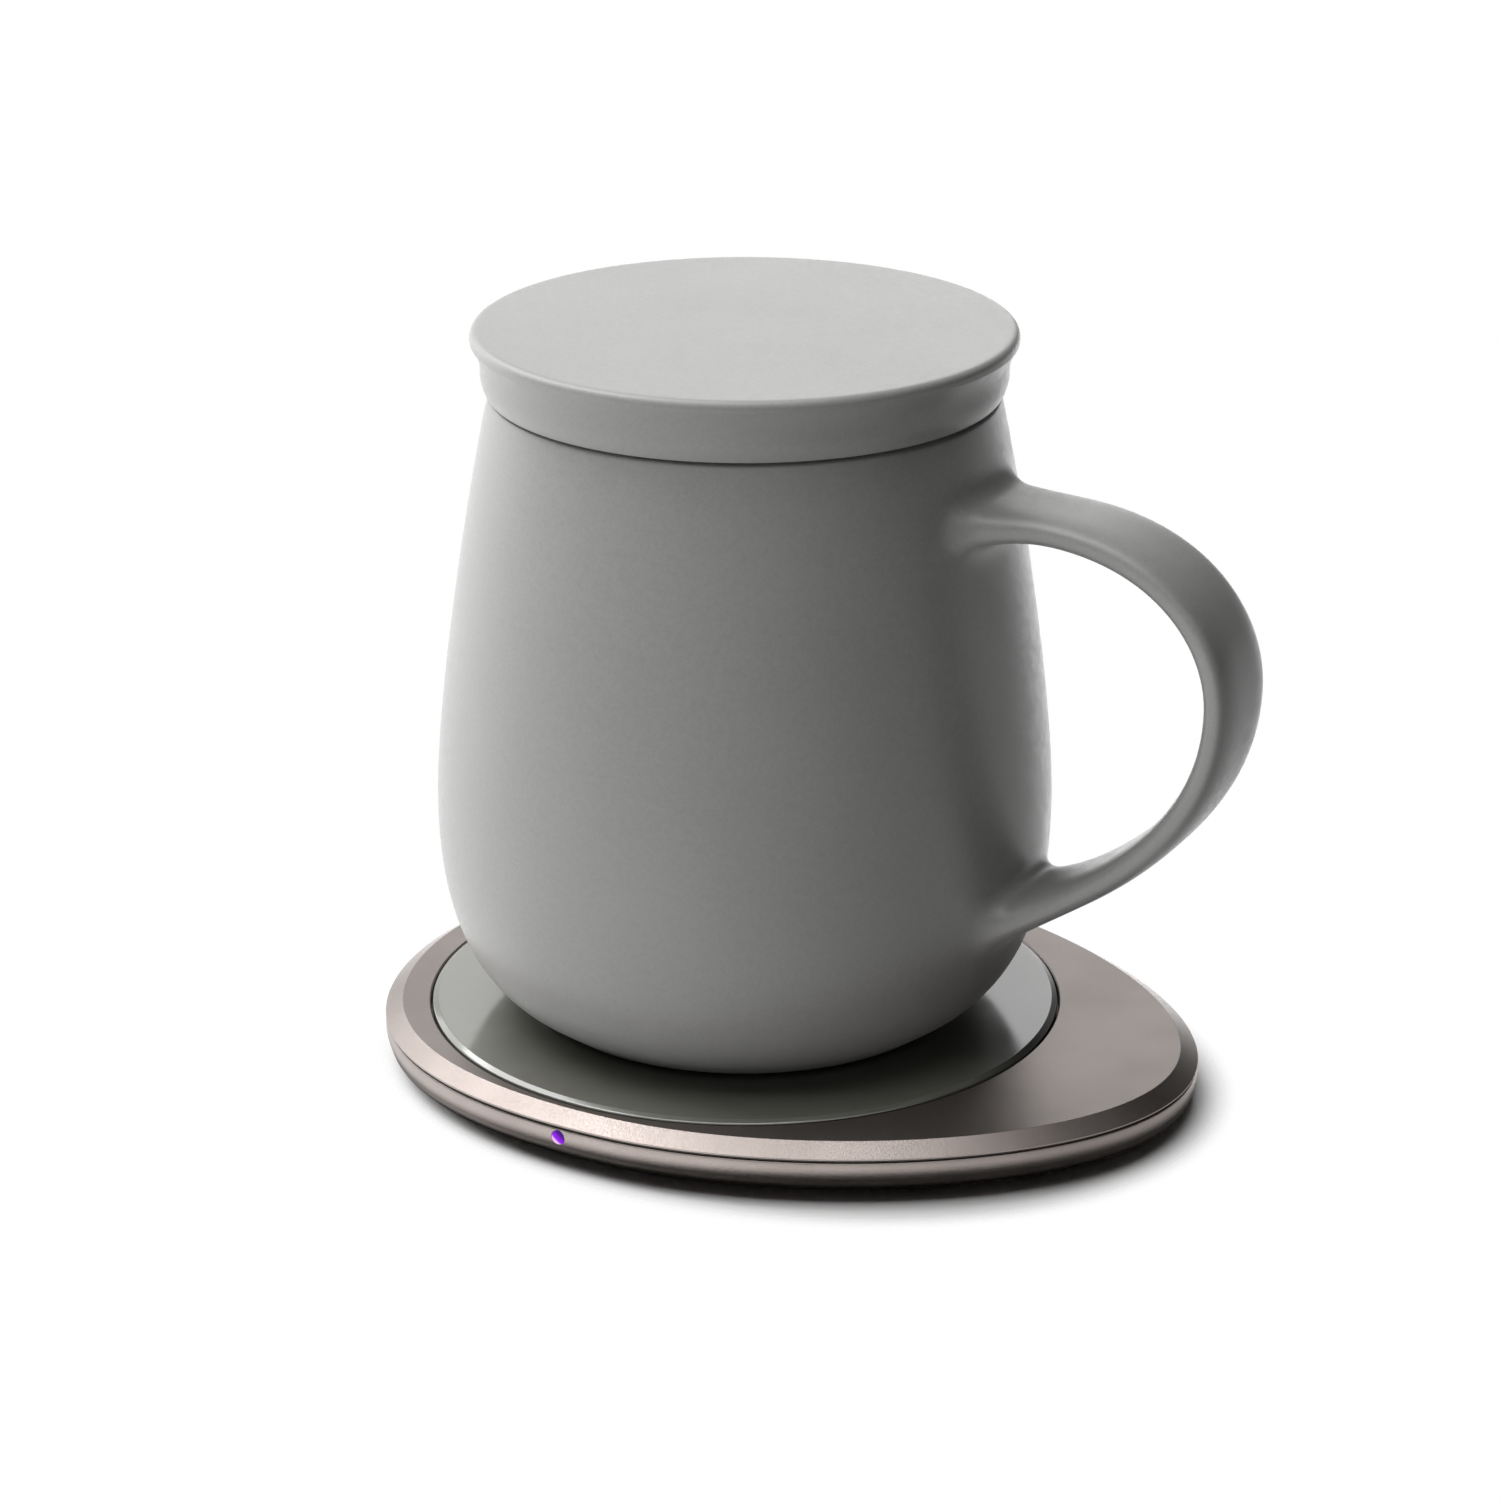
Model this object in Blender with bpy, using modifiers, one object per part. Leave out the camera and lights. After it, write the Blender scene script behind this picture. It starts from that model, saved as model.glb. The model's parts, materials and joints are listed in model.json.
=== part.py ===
"""Self heating mug standing on its wireless warming pad, in metres, +Z up.

The origin is the mug's axis on the table. +X points along the handle and the pad's nose, and -Y is
the side of the status light. The pad's heights are measured from the table, the mug's from the
plane that its foot stands on, and the lid's from the plane that it rests on the mug's lip with.
"""

import math

import bmesh
import bpy
from mathutils import Vector, geometry

MM = 0.001

# Clearances that everything shares
FIT_GAP = 0.3 * MM
THIN_GAP = 0.1 * MM
REST_GAP = 0.2 * MM
OVERRUN = 2.0 * MM
WELD = 0.002 * MM

# Mug body: a fired ceramic tumbler with a round belly
MUG_HEIGHT = 93.6 * MM
BELLY_RADIUS = 45.5 * MM
BELLY_HEIGHT = 31.4 * MM
MOUTH_RADIUS = 37.05 * MM
MOUTH_LEAN = math.radians(14.9)
BASE_RIM = 4.0 * MM
BASE_EDGE_HEIGHT = 0.35 * MM
BASE_RISE = math.radians(24.8)
BASE_PULL = 8.1 * MM
BELLY_PULL_DOWN = 19.0 * MM
BELLY_PULL_UP = 17.6 * MM
MOUTH_PULL = 6.0 * MM
WALL = 3.6 * MM
LIP_WALL = 3.4 * MM
LIP_ROUND = 0.8 * MM
FLOOR_THICKNESS = 3.6 * MM
CAVITY_FLAT_RADIUS = 22.0 * MM
CAVITY_FLOOR_PULL = 15.0 * MM
CAVITY_WALL_PULL = 9.0 * MM

# Handle: a flat strap, one piece with the body, on a curve in the XZ plane
HANDLE_TOP_HEIGHT = 79.9 * MM
HANDLE_TOP_RISE = math.radians(11.4)
HANDLE_TOP_PULL = 29.0 * MM
HANDLE_STANDOFF = 31.2 * MM
HANDLE_REACH_HEIGHT = 59.2 * MM
HANDLE_PULL_UP = 12.0 * MM
HANDLE_PULL_DOWN = 22.2 * MM
HANDLE_LOW_HEIGHT = 20.8 * MM
HANDLE_LOW_RISE = math.radians(23.6)
HANDLE_LOW_PULL = 11.7 * MM
HANDLE_TOP_EMBED = 2.3 * MM
HANDLE_LOW_EMBED = 3.0 * MM
HANDLE_ROOT_DEPTH = 2.0 * MM
HANDLE_WIDTH = 15.6 * MM
HANDLE_ROOT_WIDTH = 17.4 * MM
HANDLE_THICKNESS = 4.4 * MM
HANDLE_SQUARENESS = 2.6
HANDLE_ROOT_ROUND = 3.2 * MM
ROOT_FLARE_REACH = 12.0 * MM
ROOT_FLARE_WIDTH = 4.6 * MM
ROOT_FLARE_THICKNESS = 2.0 * MM

# Heating module: what fills the recess under the mug's floor, from the table side upwards
COVER_MARGIN = 0.8 * MM
COVER_THICKNESS = 1.3 * MM
COVER_LIFT = 0.4 * MM
FOOT_OUTER_RADIUS = 27.2 * MM
FOOT_WIDTH = 3.2 * MM
FOOT_GROOVE_DEPTH = 0.6 * MM
FOOT_EASE = 0.2 * MM
MODULE_MARGIN = 0.7 * MM
BASE_SEAL_THICKNESS = 0.5 * MM
BASE_SEAL_WIDTH = 1.1 * MM
RECEIVER_WIRE = 1.1 * MM
RECEIVER_INNER_RADIUS = 9.0 * MM
RECEIVER_PITCH = 2.4 * MM
RECEIVER_FERRITE_MARGIN = 1.2 * MM
RECEIVER_FERRITE_THICKNESS = 0.8 * MM
RECEIVER_BOARD_THICKNESS = 0.8 * MM
RECEIVER_CHIP_HEIGHT = 1.3 * MM
RECEIVER_CHIP_COUNT = 3
RECEIVER_CHIP_REACH_SHARE = 0.5
INSULATOR_THICKNESS = 2.0 * MM
SENSOR_RADIUS = 1.8 * MM
HEATER_MARGIN = 1.7 * MM
HEATER_THICKNESS = 0.9 * MM
THERMAL_PAD_THICKNESS = 0.5 * MM

# Lid: a ceramic cap with a thin flange, a band over the lip and a spigot in the mouth
LID_HEIGHT = 9.3 * MM
LID_FLANGE_OVERHANG = 1.4 * MM
LID_FLANGE_HEIGHT = 7.7 * MM
LID_EDGE_ROUND = 0.7 * MM
LID_BAND_OVERHANG = 0.95 * MM
LID_BAND_TOP = 3.2 * MM
LID_BAND_TUCK = 1.0 * MM
LID_BAND_PULL = 1.4 * MM
LID_ROLL_PULL = 0.5 * MM
LID_FLARE_PULL = 2.0 * MM
LID_FLARE_LEAN = math.radians(33.0)
LID_TOP_THICKNESS = 4.0 * MM
SPIGOT_DEPTH = 8.3 * MM
SPIGOT_CLEARANCE = 0.9 * MM
SPIGOT_WALL = 3.4 * MM
SPIGOT_ROUND = 0.8 * MM
LID_HOLLOW_ROUND = 3.0 * MM
SEAL_HEIGHT = 1.8 * MM
SEAL_DEPTH = 1.2 * MM
SEAL_DROP = 1.6 * MM

# Pad outline: an egg of four curves that meet at the nose, the two sides and the tail, each so far
# outside the plate's round hole, with their pulls as shares of the reach that they bend towards
NOSE_RIM = 23.8 * MM
SIDE_RIM = 3.85 * MM
TAIL_RIM = 6.8 * MM
SIDE_X = 3.7 * MM
NOSE_PULL_SHARE = 0.532
TAIL_PULL_SHARE = 0.358
SIDE_PULL_TO_NOSE_SHARE = 0.419
SIDE_PULL_TO_TAIL_SHARE = 0.882

# Pad shells
PAD_TOP = 9.0 * MM
CHAMFER_DROP = 1.95 * MM
CHAMFER_INSET = 2.6 * MM
CHAMFER_EASE = 0.25 * MM
SKIN = 1.0 * MM
SIDE_WALL = 1.4 * MM
SEAM_GAP = 0.4 * MM
SEAM_GASKET_INSET = 0.35 * MM
SEAM_GASKET_WIDTH = 0.9 * MM
BAND_SHARE = 0.54
BAND_TAPER = 0.5 * MM
BAND_DROP_SHARES = (0.0, 0.25, 0.67, 1.0)
BAND_INSET_SHARES = (0.25, 0.0, 0.33, 1.0)
CURL_DEGREES = (30, 60, 90)
BASE_INSIDE_SHARE = 0.25
UNDERSIDE_INSET = 6.6 * MM
BASE_FLOOR = 1.2 * MM
MAT_THICKNESS = 1.2 * MM
MAT_INSET = 8.6 * MM

# Glass plate and what carries it
PLATE_RADIUS = 47.0 * MM
PLATE_THICKNESS = 2.1 * MM
PLATE_PROUD = 0.5 * MM
PLATE_EDGE_ROUND = 0.9 * MM
LEDGE_WIDTH = 3.2 * MM
LEDGE_THICKNESS = 1.0 * MM
COLLAR_WALL = 1.0 * MM
PLATE_GASKET_THICKNESS = 0.3 * MM
PLATE_GASKET_WIDTH = 2.2 * MM

# Coil carrier and the coil in it
CARRIER_SHELF_THICKNESS = 1.0 * MM
CARRIER_LIP_WIDTH = 2.4 * MM
CARRIER_LIP_THICKNESS = 1.0 * MM
CARRIER_WALL = 1.0 * MM
CARRIER_FLOOR_THICKNESS = 0.8 * MM
POCKET_CLEARANCE = 0.8 * MM
PAD_WIRE = 1.1 * MM
PAD_COIL_INNER_RADIUS = 9.5 * MM
PAD_COIL_PITCH = 2.4 * MM
PAD_FERRITE_RADIUS = 25.6 * MM
PAD_FERRITE_THICKNESS = 0.9 * MM
PAD_FERRITE_HOLE = 3.2 * MM
PAD_SENSOR_RADIUS = 2.4 * MM
POST_CIRCLE_SHARE = 0.524
POST_RADIUS = 2.4 * MM
POST_SEAT_THICKNESS = 0.8 * MM
POST_SEAT_MARGIN = 0.8 * MM
POST_HOLE_CLEARANCE = 0.5 * MM

# Main board and what is soldered to it
BOARD_INSET = 3.1 * MM
BOARD_HOLE_CLEARANCE = 0.9 * MM
BOARD_STANDOFF = 0.8 * MM
BOARD_THICKNESS = 1.0 * MM
BOARD_BOSS_RADIUS = 2.0 * MM
BOARD_SCREW_X_SHARES = (0.86, -0.6, -0.6)
BOARD_SCREW_Y_SHARES = (0.0, 0.36, -0.36)
SCREW_SHANK_RADIUS = 0.7 * MM
SCREW_HEAD_RADIUS = 1.5 * MM
SCREW_HEAD_HEIGHT = 0.8 * MM
BOARD_SCREW_LENGTH = 1.5 * MM
PAD_SCREW_SHANK_RADIUS = 0.9 * MM
PAD_SCREW_HEAD_RADIUS = 1.8 * MM
PAD_SCREW_HEAD_HEIGHT = 0.6 * MM
PAD_SCREW_TIP_COVER = 0.4 * MM
CHIP_SIDE = 5.0 * MM
CHIP_HEIGHT = 1.0 * MM
CHIP_SPACING = 9.0 * MM
CHIP_COUNT = 3
CHIP_STANDOFF = 8.7 * MM
INDUCTOR_SIDE = 6.6 * MM
INDUCTOR_HEADROOM = 1.4 * MM
INDUCTOR_STANDOFF = 6.2 * MM
INDUCTOR_Y = 17.0 * MM
CAPACITOR_RADIUS = 2.0 * MM
CAPACITOR_HEADROOM = 1.0 * MM
CAPACITOR_SPACING = 4.8 * MM
CAPACITOR_COUNT = 3
CAPACITOR_Y = -20.0 * MM
SMALL_BEVEL = 0.2 * MM

# USB-C receptacle, by its standard sizes, halfway round from the nose to the +Y side
USB_WIDTH = 8.94 * MM
USB_HEIGHT = 3.26 * MM
USB_DEPTH = 7.35 * MM
USB_SHELL = 0.3 * MM
USB_RECESS = 0.9 * MM
USB_CENTRE_HEIGHT = 4.6 * MM
USB_BACK = 1.4 * MM
TONGUE_WIDTH = 6.69 * MM
TONGUE_THICKNESS = 0.7 * MM
TONGUE_LENGTH = 4.45 * MM

# Status light
LIGHT_X = -2.7 * MM
LIGHT_DROP = 1.45 * MM
LIGHT_RADIUS = 1.05 * MM
LIGHT_CLEARANCE = 0.1 * MM
LIGHT_FLANGE_RADIUS = 1.6 * MM
LIGHT_FLANGE_THICKNESS = 0.5 * MM
LED_WIDTH = 2.6 * MM
LED_DEPTH = 1.2 * MM
LED_HEIGHT = 1.6 * MM

# How finely round things are cut
BODY_SIDES = 40
INNER_SIDES = 24
SMALL_SIDES = 10
EGG_STEPS = 12
CURVE_STEPS = 7
INSIDE_STEPS = 5
ROUND_STEPS = 2
COIL_POINTS_PER_TURN = 12
FILLET_DEGREES = (80, 55, 30, 0)
ROOT_CLEAR_SHARE = 1.3
BISECTIONS = 24
STRAP_SIDES = 18
STRAP_STEPS = 11
SHARP_ANGLE = math.radians(35)

# Sizes that follow: the mug
COVER_RADIUS = FOOT_OUTER_RADIUS + COVER_MARGIN
BASE_EDGE_RADIUS = COVER_RADIUS + FIT_GAP + BASE_RIM
MODULE_RADIUS = COVER_RADIUS - BASE_SEAL_WIDTH - MODULE_MARGIN
RECEIVER_FERRITE_RADIUS = MODULE_RADIUS - RECEIVER_FERRITE_MARGIN
RECEIVER_ROOM = RECEIVER_FERRITE_RADIUS - RECEIVER_WIRE / 2 - RECEIVER_INNER_RADIUS
RECEIVER_TURNS = int(RECEIVER_ROOM / RECEIVER_PITCH)
HEATER_RADIUS = MODULE_RADIUS - HEATER_MARGIN
HANDLE_REACH = BELLY_RADIUS + HANDLE_STANDOFF
COVER_TOP = COVER_LIFT + COVER_THICKNESS
RECESS_STEP = COVER_TOP + BASE_SEAL_THICKNESS + 2 * THIN_GAP
RECEIVER_COIL_HEIGHT = COVER_TOP + FIT_GAP
RECEIVER_FERRITE_HEIGHT = RECEIVER_COIL_HEIGHT + RECEIVER_WIRE + FIT_GAP
RECEIVER_BOARD_HEIGHT = RECEIVER_FERRITE_HEIGHT + RECEIVER_FERRITE_THICKNESS + FIT_GAP
RECEIVER_CHIPS_HEIGHT = RECEIVER_BOARD_HEIGHT + RECEIVER_BOARD_THICKNESS + THIN_GAP
INSULATOR_HEIGHT = RECEIVER_CHIPS_HEIGHT + RECEIVER_CHIP_HEIGHT + FIT_GAP
HEATER_HEIGHT = INSULATOR_HEIGHT + INSULATOR_THICKNESS + FIT_GAP
THERMAL_PAD_HEIGHT = HEATER_HEIGHT + HEATER_THICKNESS + THIN_GAP
RECESS_TOP = THERMAL_PAD_HEIGHT + THERMAL_PAD_THICKNESS + THIN_GAP
CAVITY_FLOOR = RECESS_TOP + FLOOR_THICKNESS
MOUTH_INNER_RADIUS = MOUTH_RADIUS - LIP_WALL

# Sizes that follow: the lid
LID_REST = MUG_HEIGHT + FIT_GAP
LID_BAND_RADIUS = MOUTH_RADIUS + LID_BAND_OVERHANG
LID_FLANGE_RADIUS = LID_BAND_RADIUS + LID_FLANGE_OVERHANG
SPIGOT_RADIUS = MOUTH_INNER_RADIUS - SPIGOT_CLEARANCE
SPIGOT_INNER_RADIUS = SPIGOT_RADIUS - SPIGOT_WALL

# Sizes that follow: the pad
PLATE_TOP = PAD_TOP + PLATE_PROUD
PLATE_UNDERSIDE = PLATE_TOP - PLATE_THICKNESS
LEDGE_TOP = PLATE_UNDERSIDE - PLATE_GASKET_THICKNESS - 2 * THIN_GAP
LEDGE_UNDERSIDE = LEDGE_TOP - LEDGE_THICKNESS
PLATE_HOLE_RADIUS = PLATE_RADIUS + FIT_GAP
LEDGE_INNER_RADIUS = PLATE_HOLE_RADIUS - LEDGE_WIDTH
MUG_REST = PLATE_TOP + REST_GAP
NOSE_REACH = PLATE_HOLE_RADIUS + NOSE_RIM
SIDE_REACH = PLATE_HOLE_RADIUS + SIDE_RIM
TAIL_REACH = PLATE_HOLE_RADIUS + TAIL_RIM
SKIRT_HEIGHT = PAD_TOP - CHAMFER_DROP
RIM_HEIGHT = SKIRT_HEIGHT - SEAM_GAP
UNDERSIDE_HEIGHT = MAT_THICKNESS - FIT_GAP
BAND_HEIGHT = (RIM_HEIGHT - UNDERSIDE_HEIGHT) * BAND_SHARE
FLOOR_TOP = UNDERSIDE_HEIGHT + BASE_FLOOR
LIGHT_HEIGHT = RIM_HEIGHT - LIGHT_DROP
BOARD_HEIGHT = FLOOR_TOP + BOARD_STANDOFF
BOARD_TOP = BOARD_HEIGHT + BOARD_THICKNESS
CHIP_X = PLATE_HOLE_RADIUS + CHIP_STANDOFF
INDUCTOR_X = PLATE_HOLE_RADIUS + INDUCTOR_STANDOFF
SHELF_TOP = PLATE_UNDERSIDE - FIT_GAP
SHELF_UNDERSIDE = SHELF_TOP - CARRIER_SHELF_THICKNESS
SHELF_RADIUS = LEDGE_INNER_RADIUS - FIT_GAP
PAD_COIL_HEIGHT = SHELF_TOP - REST_GAP - PAD_WIRE
PAD_FERRITE_HEIGHT = PAD_COIL_HEIGHT - FIT_GAP - PAD_FERRITE_THICKNESS
POCKET_FLOOR = PAD_FERRITE_HEIGHT - THIN_GAP
PAD_COIL_ROOM = PAD_FERRITE_RADIUS - PAD_WIRE / 2 - PAD_COIL_INNER_RADIUS
PAD_COIL_TURNS = int(PAD_COIL_ROOM / PAD_COIL_PITCH)
POCKET_RADIUS = PAD_FERRITE_RADIUS + POCKET_CLEARANCE
POCKET_WALL_RADIUS = POCKET_RADIUS + CARRIER_WALL
POST_CIRCLE_RADIUS = POCKET_WALL_RADIUS + (SHELF_RADIUS - POCKET_WALL_RADIUS) * POST_CIRCLE_SHARE
PAD_SCREW_SEAT = MAT_THICKNESS + 3 * THIN_GAP + PAD_SCREW_HEAD_HEIGHT
PAD_SCREW_LENGTH = SHELF_UNDERSIDE - PAD_SCREW_TIP_COVER - PAD_SCREW_SEAT
POST_SEAT_TOP = PAD_SCREW_SEAT + POST_SEAT_THICKNESS
POST_FOOT_HEIGHT = POST_SEAT_TOP + THIN_GAP


def clear_scene():
    """Removes every object, so that the script can be run again."""
    for old in list(bpy.data.objects):
        bpy.data.objects.remove(old, do_unlink=True)


def collection_named(name, hidden=False):
    """A new collection in the scene; a hidden one stays out of renders."""
    made = bpy.data.collections.new(name)
    made.hide_render = hidden
    bpy.context.scene.collection.children.link(made)
    return made


def finish_named(name, colour, roughness, metallic=0.0):
    """A plain Principled material."""
    made = bpy.data.materials.new(name)
    made.use_nodes = True
    shader = made.node_tree.nodes["Principled BSDF"]
    shader.inputs["Base Color"].default_value = (*colour, 1.0)
    shader.inputs["Roughness"].default_value = roughness
    shader.inputs["Metallic"].default_value = metallic
    return made


def frame_at(name, height, parent=None):
    """An empty that a group of pieces hangs on, at this height above its parent."""
    made = bpy.data.objects.new(name, None)
    made.location.z = height
    made.parent = parent
    PARTS.objects.link(made)
    return made


def add_mesh(name, mesh, finish, parent, place=(0, 0, 0)):
    """An object for this mesh, a cutter where finish is None."""
    made = bpy.data.objects.new(name, mesh)
    made.parent = parent
    made.location = place
    if finish is None:
        made.hide_render = True
        made.display_type = "WIRE"
        CUTTERS.objects.link(made)
    else:
        mesh.materials.append(finish)
        PARTS.objects.link(made)
    return made


def solid_from(name, bm, finish, parent, place=(0, 0, 0)):
    """An object from a bmesh whose faces are first turned outwards."""
    bmesh.ops.recalc_face_normals(bm, faces=bm.faces)
    mesh = bpy.data.meshes.new(name)
    bm.to_mesh(mesh)
    bm.free()
    return add_mesh(name, mesh, finish, parent, place)


def turned(name, profile, finish, parent, sides=INNER_SIDES, ring=False, height=0.0):
    """A shape turned about Z from (radius, height) points that run down its outer side."""
    mesh = bpy.data.meshes.new(name)
    last = len(profile) - 1
    edges = [(i, i + 1) for i in range(last)]
    if ring:
        edges.append((last, 0))
    mesh.from_pydata([(radius, 0, z) for radius, z in profile], edges, [])
    made = add_mesh(name, mesh, finish, parent, (0, 0, height))
    screw = made.modifiers.new("Turn", "SCREW")
    screw.steps = sides
    screw.render_steps = sides
    screw.use_merge_vertices = True
    screw.merge_threshold = WELD
    return made


def disc(name, radius, thickness, finish, parent, height, hole=0.0, sides=INNER_SIDES):
    """A flat round plate, with a round hole where one is given."""
    top, low = (radius, thickness), (radius, 0)
    if hole:
        profile = [(hole, thickness), top, low, (hole, 0)]
        return turned(name, profile, finish, parent, sides, True, height)
    profile = [(0, thickness), top, low, (0, 0)]
    return turned(name, profile, finish, parent, sides, False, height)


def loft(name, rows, finish, parent, ring=False):
    """A skin over rows of equally many points, closed by end caps or back to the first row."""
    bm = bmesh.new()
    loops = [[bm.verts.new(point) for point in row] for row in rows]
    pairs = list(zip(loops, loops[1:]))
    if ring:
        pairs.append((loops[-1], loops[0]))
    else:
        bm.faces.new(loops[0])
        bm.faces.new(loops[-1])
    count = len(loops[0])
    for near, far in pairs:
        for i in range(count):
            j = (i + 1) % count
            bm.faces.new((near[i], near[j], far[j], far[i]))
    return solid_from(name, bm, finish, parent)


def flat_plate(name, outlines, bottom, thickness, finish, parent):
    """A flat sheet with this outline and these holes, from a filled curve."""
    flat = bpy.data.curves.new(name, "CURVE")
    flat.dimensions = "2D"
    flat.fill_mode = "BOTH"
    flat.extrude = thickness / 2
    for outline in outlines:
        spline = flat.splines.new("POLY")
        spline.points.add(len(outline) - 1)
        spline.use_cyclic_u = True
        for point, (x, y) in zip(spline.points, outline):
            point.co = (x, y, 0, 1)
    return mesh_of_curve(name, flat, finish, parent, (0, 0, bottom + thickness / 2))


def mesh_of_curve(name, curve, finish, parent, place=(0, 0, 0)):
    """The curve as a mesh, with its loose caps welded."""
    guide = bpy.data.objects.new(name, curve)
    PARTS.objects.link(guide)
    graph = bpy.context.evaluated_depsgraph_get()
    mesh = bpy.data.meshes.new_from_object(guide.evaluated_get(graph))
    bpy.data.objects.remove(guide)
    bm = bmesh.new()
    bm.from_mesh(mesh)
    bmesh.ops.remove_doubles(bm, verts=bm.verts, dist=WELD)
    bmesh.ops.recalc_face_normals(bm, faces=bm.faces)
    bm.to_mesh(mesh)
    bm.free()
    mesh.name = name
    return add_mesh(name, mesh, finish, parent, place)


def box(name, size, place, finish, parent, bevel=0.0):
    """A box of this size centred on this place."""
    bm = bmesh.new()
    bmesh.ops.create_cube(bm, size=1.0)
    bmesh.ops.scale(bm, vec=size, verts=bm.verts)
    made = solid_from(name, bm, finish, parent, place)
    if bevel:
        rounding = made.modifiers.new("Edges", "BEVEL")
        rounding.width = bevel
        rounding.segments = 1
    return made


def rod(name, radius, length, place, finish, parent, along="Z"):
    """A cylinder centred on this place, along Z or Y."""
    bm = bmesh.new()
    bmesh.ops.create_cone(
        bm, cap_ends=True, segments=SMALL_SIDES, radius1=radius, radius2=radius, depth=length
    )
    made = solid_from(name, bm, finish, parent, place)
    if along == "Y":
        made.rotation_euler.x = -math.pi / 2
    return made


def flat_spiral(name, inner_radius, pitch, turns, wire, finish, parent, height):
    """A one layer coil: a wire on a spiral whose points come from its pitch."""
    steps = turns * COIL_POINTS_PER_TURN
    path = bpy.data.curves.new(name, "CURVE")
    path.dimensions = "3D"
    path.fill_mode = "FULL"
    path.bevel_depth = wire / 2
    path.bevel_resolution = 0
    path.use_fill_caps = True
    spline = path.splines.new("POLY")
    spline.points.add(steps)
    for step, point in enumerate(spline.points):
        angle = math.tau * step / COIL_POINTS_PER_TURN
        radius = inner_radius + pitch * step / COIL_POINTS_PER_TURN
        point.co = (radius * math.cos(angle), radius * math.sin(angle), 0, 1)
    return mesh_of_curve(name, path, finish, parent, (0, 0, height + wire / 2))


def combine(piece, other, operation):
    """Cuts or joins the other shape, which then only serves as a tool."""
    step = piece.modifiers.new(other.name, "BOOLEAN")
    step.operation = operation
    step.object = other
    step.solver = "EXACT"


def cut(piece, *cutters):
    for cutter in cutters:
        combine(piece, cutter, "DIFFERENCE")


def join(piece, *others):
    for other in others:
        combine(piece, other, "UNION")


def settle(piece):
    """Applies the piece's modifiers and shades its round faces smooth."""
    graph = bpy.context.evaluated_depsgraph_get()
    mesh = bpy.data.meshes.new_from_object(piece.evaluated_get(graph))
    mesh.name = piece.name
    mesh.shade_smooth()
    mesh.set_sharp_from_angle(angle=SHARP_ANGLE)
    piece.modifiers.clear()
    piece.data = mesh


def arc(centre, radius, start, end, steps=ROUND_STEPS):
    """Points from one angle to another, both in degrees, on a circle in the profile plane."""
    points = []
    for step in range(steps + 1):
        angle = math.radians(start + (end - start) * step / steps)
        points.append((centre[0] + radius * math.cos(angle), centre[1] + radius * math.sin(angle)))
    return points


def bezier(start, start_pull, end_pull, end, steps=CURVE_STEPS):
    """Points on a cubic curve between two places, with the two handles given as offsets."""
    start, end = Vector(start), Vector(end)
    first, second = start + Vector(start_pull), end + Vector(end_pull)
    points = geometry.interpolate_bezier(
        start.to_3d(), first.to_3d(), second.to_3d(), end.to_3d(), steps + 1
    )
    return [tuple(point)[:2] for point in points]


def egg(inset=0.0):
    """The pad's outline, drawn in by this much, as points that run from the nose by way of +Y."""
    side = (SIDE_X, SIDE_REACH)
    nose_pull = (0, SIDE_REACH * NOSE_PULL_SHARE)
    tail_pull = (0, SIDE_REACH * TAIL_PULL_SHARE)
    side_pull = (NOSE_REACH * SIDE_PULL_TO_NOSE_SHARE, 0)
    far_side_pull = (-TAIL_REACH * SIDE_PULL_TO_TAIL_SHARE, 0)
    quarters = (
        ((NOSE_REACH, 0), nose_pull, side_pull, side),
        (side, far_side_pull, tail_pull, (-TAIL_REACH, 0)),
    )
    half = []
    for quarter in quarters:
        half += bezier(*quarter, steps=EGG_STEPS)[:-1]
    half.append((-TAIL_REACH, 0))
    outline = half + [(x, -y) for x, y in reversed(half[1:-1])]
    moved = []
    for i, (x, y) in enumerate(outline):
        before = Vector(outline[i - 1])
        after = Vector(outline[(i + 1) % len(outline)])
        along = (after - before).normalized()
        moved.append((x - inset * along.y, y + inset * along.x))
    return moved


def side_reach_at(x):
    """How far from the X axis the pad's outline lies at this x."""
    side = [point for point in egg() if point[1] >= 0]
    for (near_x, near_y), (far_x, far_y) in zip(side, side[1:]):
        if far_x <= x <= near_x:
            return near_y + (far_y - near_y) * (near_x - x) / (near_x - far_x)
    return 0.0


def egg_row(inset, height):
    return [(x, y, height) for x, y in egg(inset)]


def round_row(radius, height):
    """A circle with one point opposite each point of the egg, seen from the mug's axis."""
    row = []
    for x, y in egg():
        reach = math.hypot(x, y)
        row.append((x * radius / reach, y * radius / reach, height))
    return row


def circle(radius, x=0.0, y=0.0, sides=INNER_SIDES):
    turns = [math.tau * i / sides for i in range(sides)]
    return [(x + radius * math.cos(turn), y + radius * math.sin(turn)) for turn in turns]


def post_places():
    """Where the four posts of the coil carrier stand."""
    angles = [math.radians(45 + 90 * i) for i in range(4)]
    return [
        (POST_CIRCLE_RADIUS * math.cos(angle), POST_CIRCLE_RADIUS * math.sin(angle))
        for angle in angles
    ]


def board_screw_places():
    return [
        (NOSE_REACH * x if x > 0 else TAIL_REACH * x, SIDE_REACH * y)
        for x, y in zip(BOARD_SCREW_X_SHARES, BOARD_SCREW_Y_SHARES)
    ]


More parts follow.
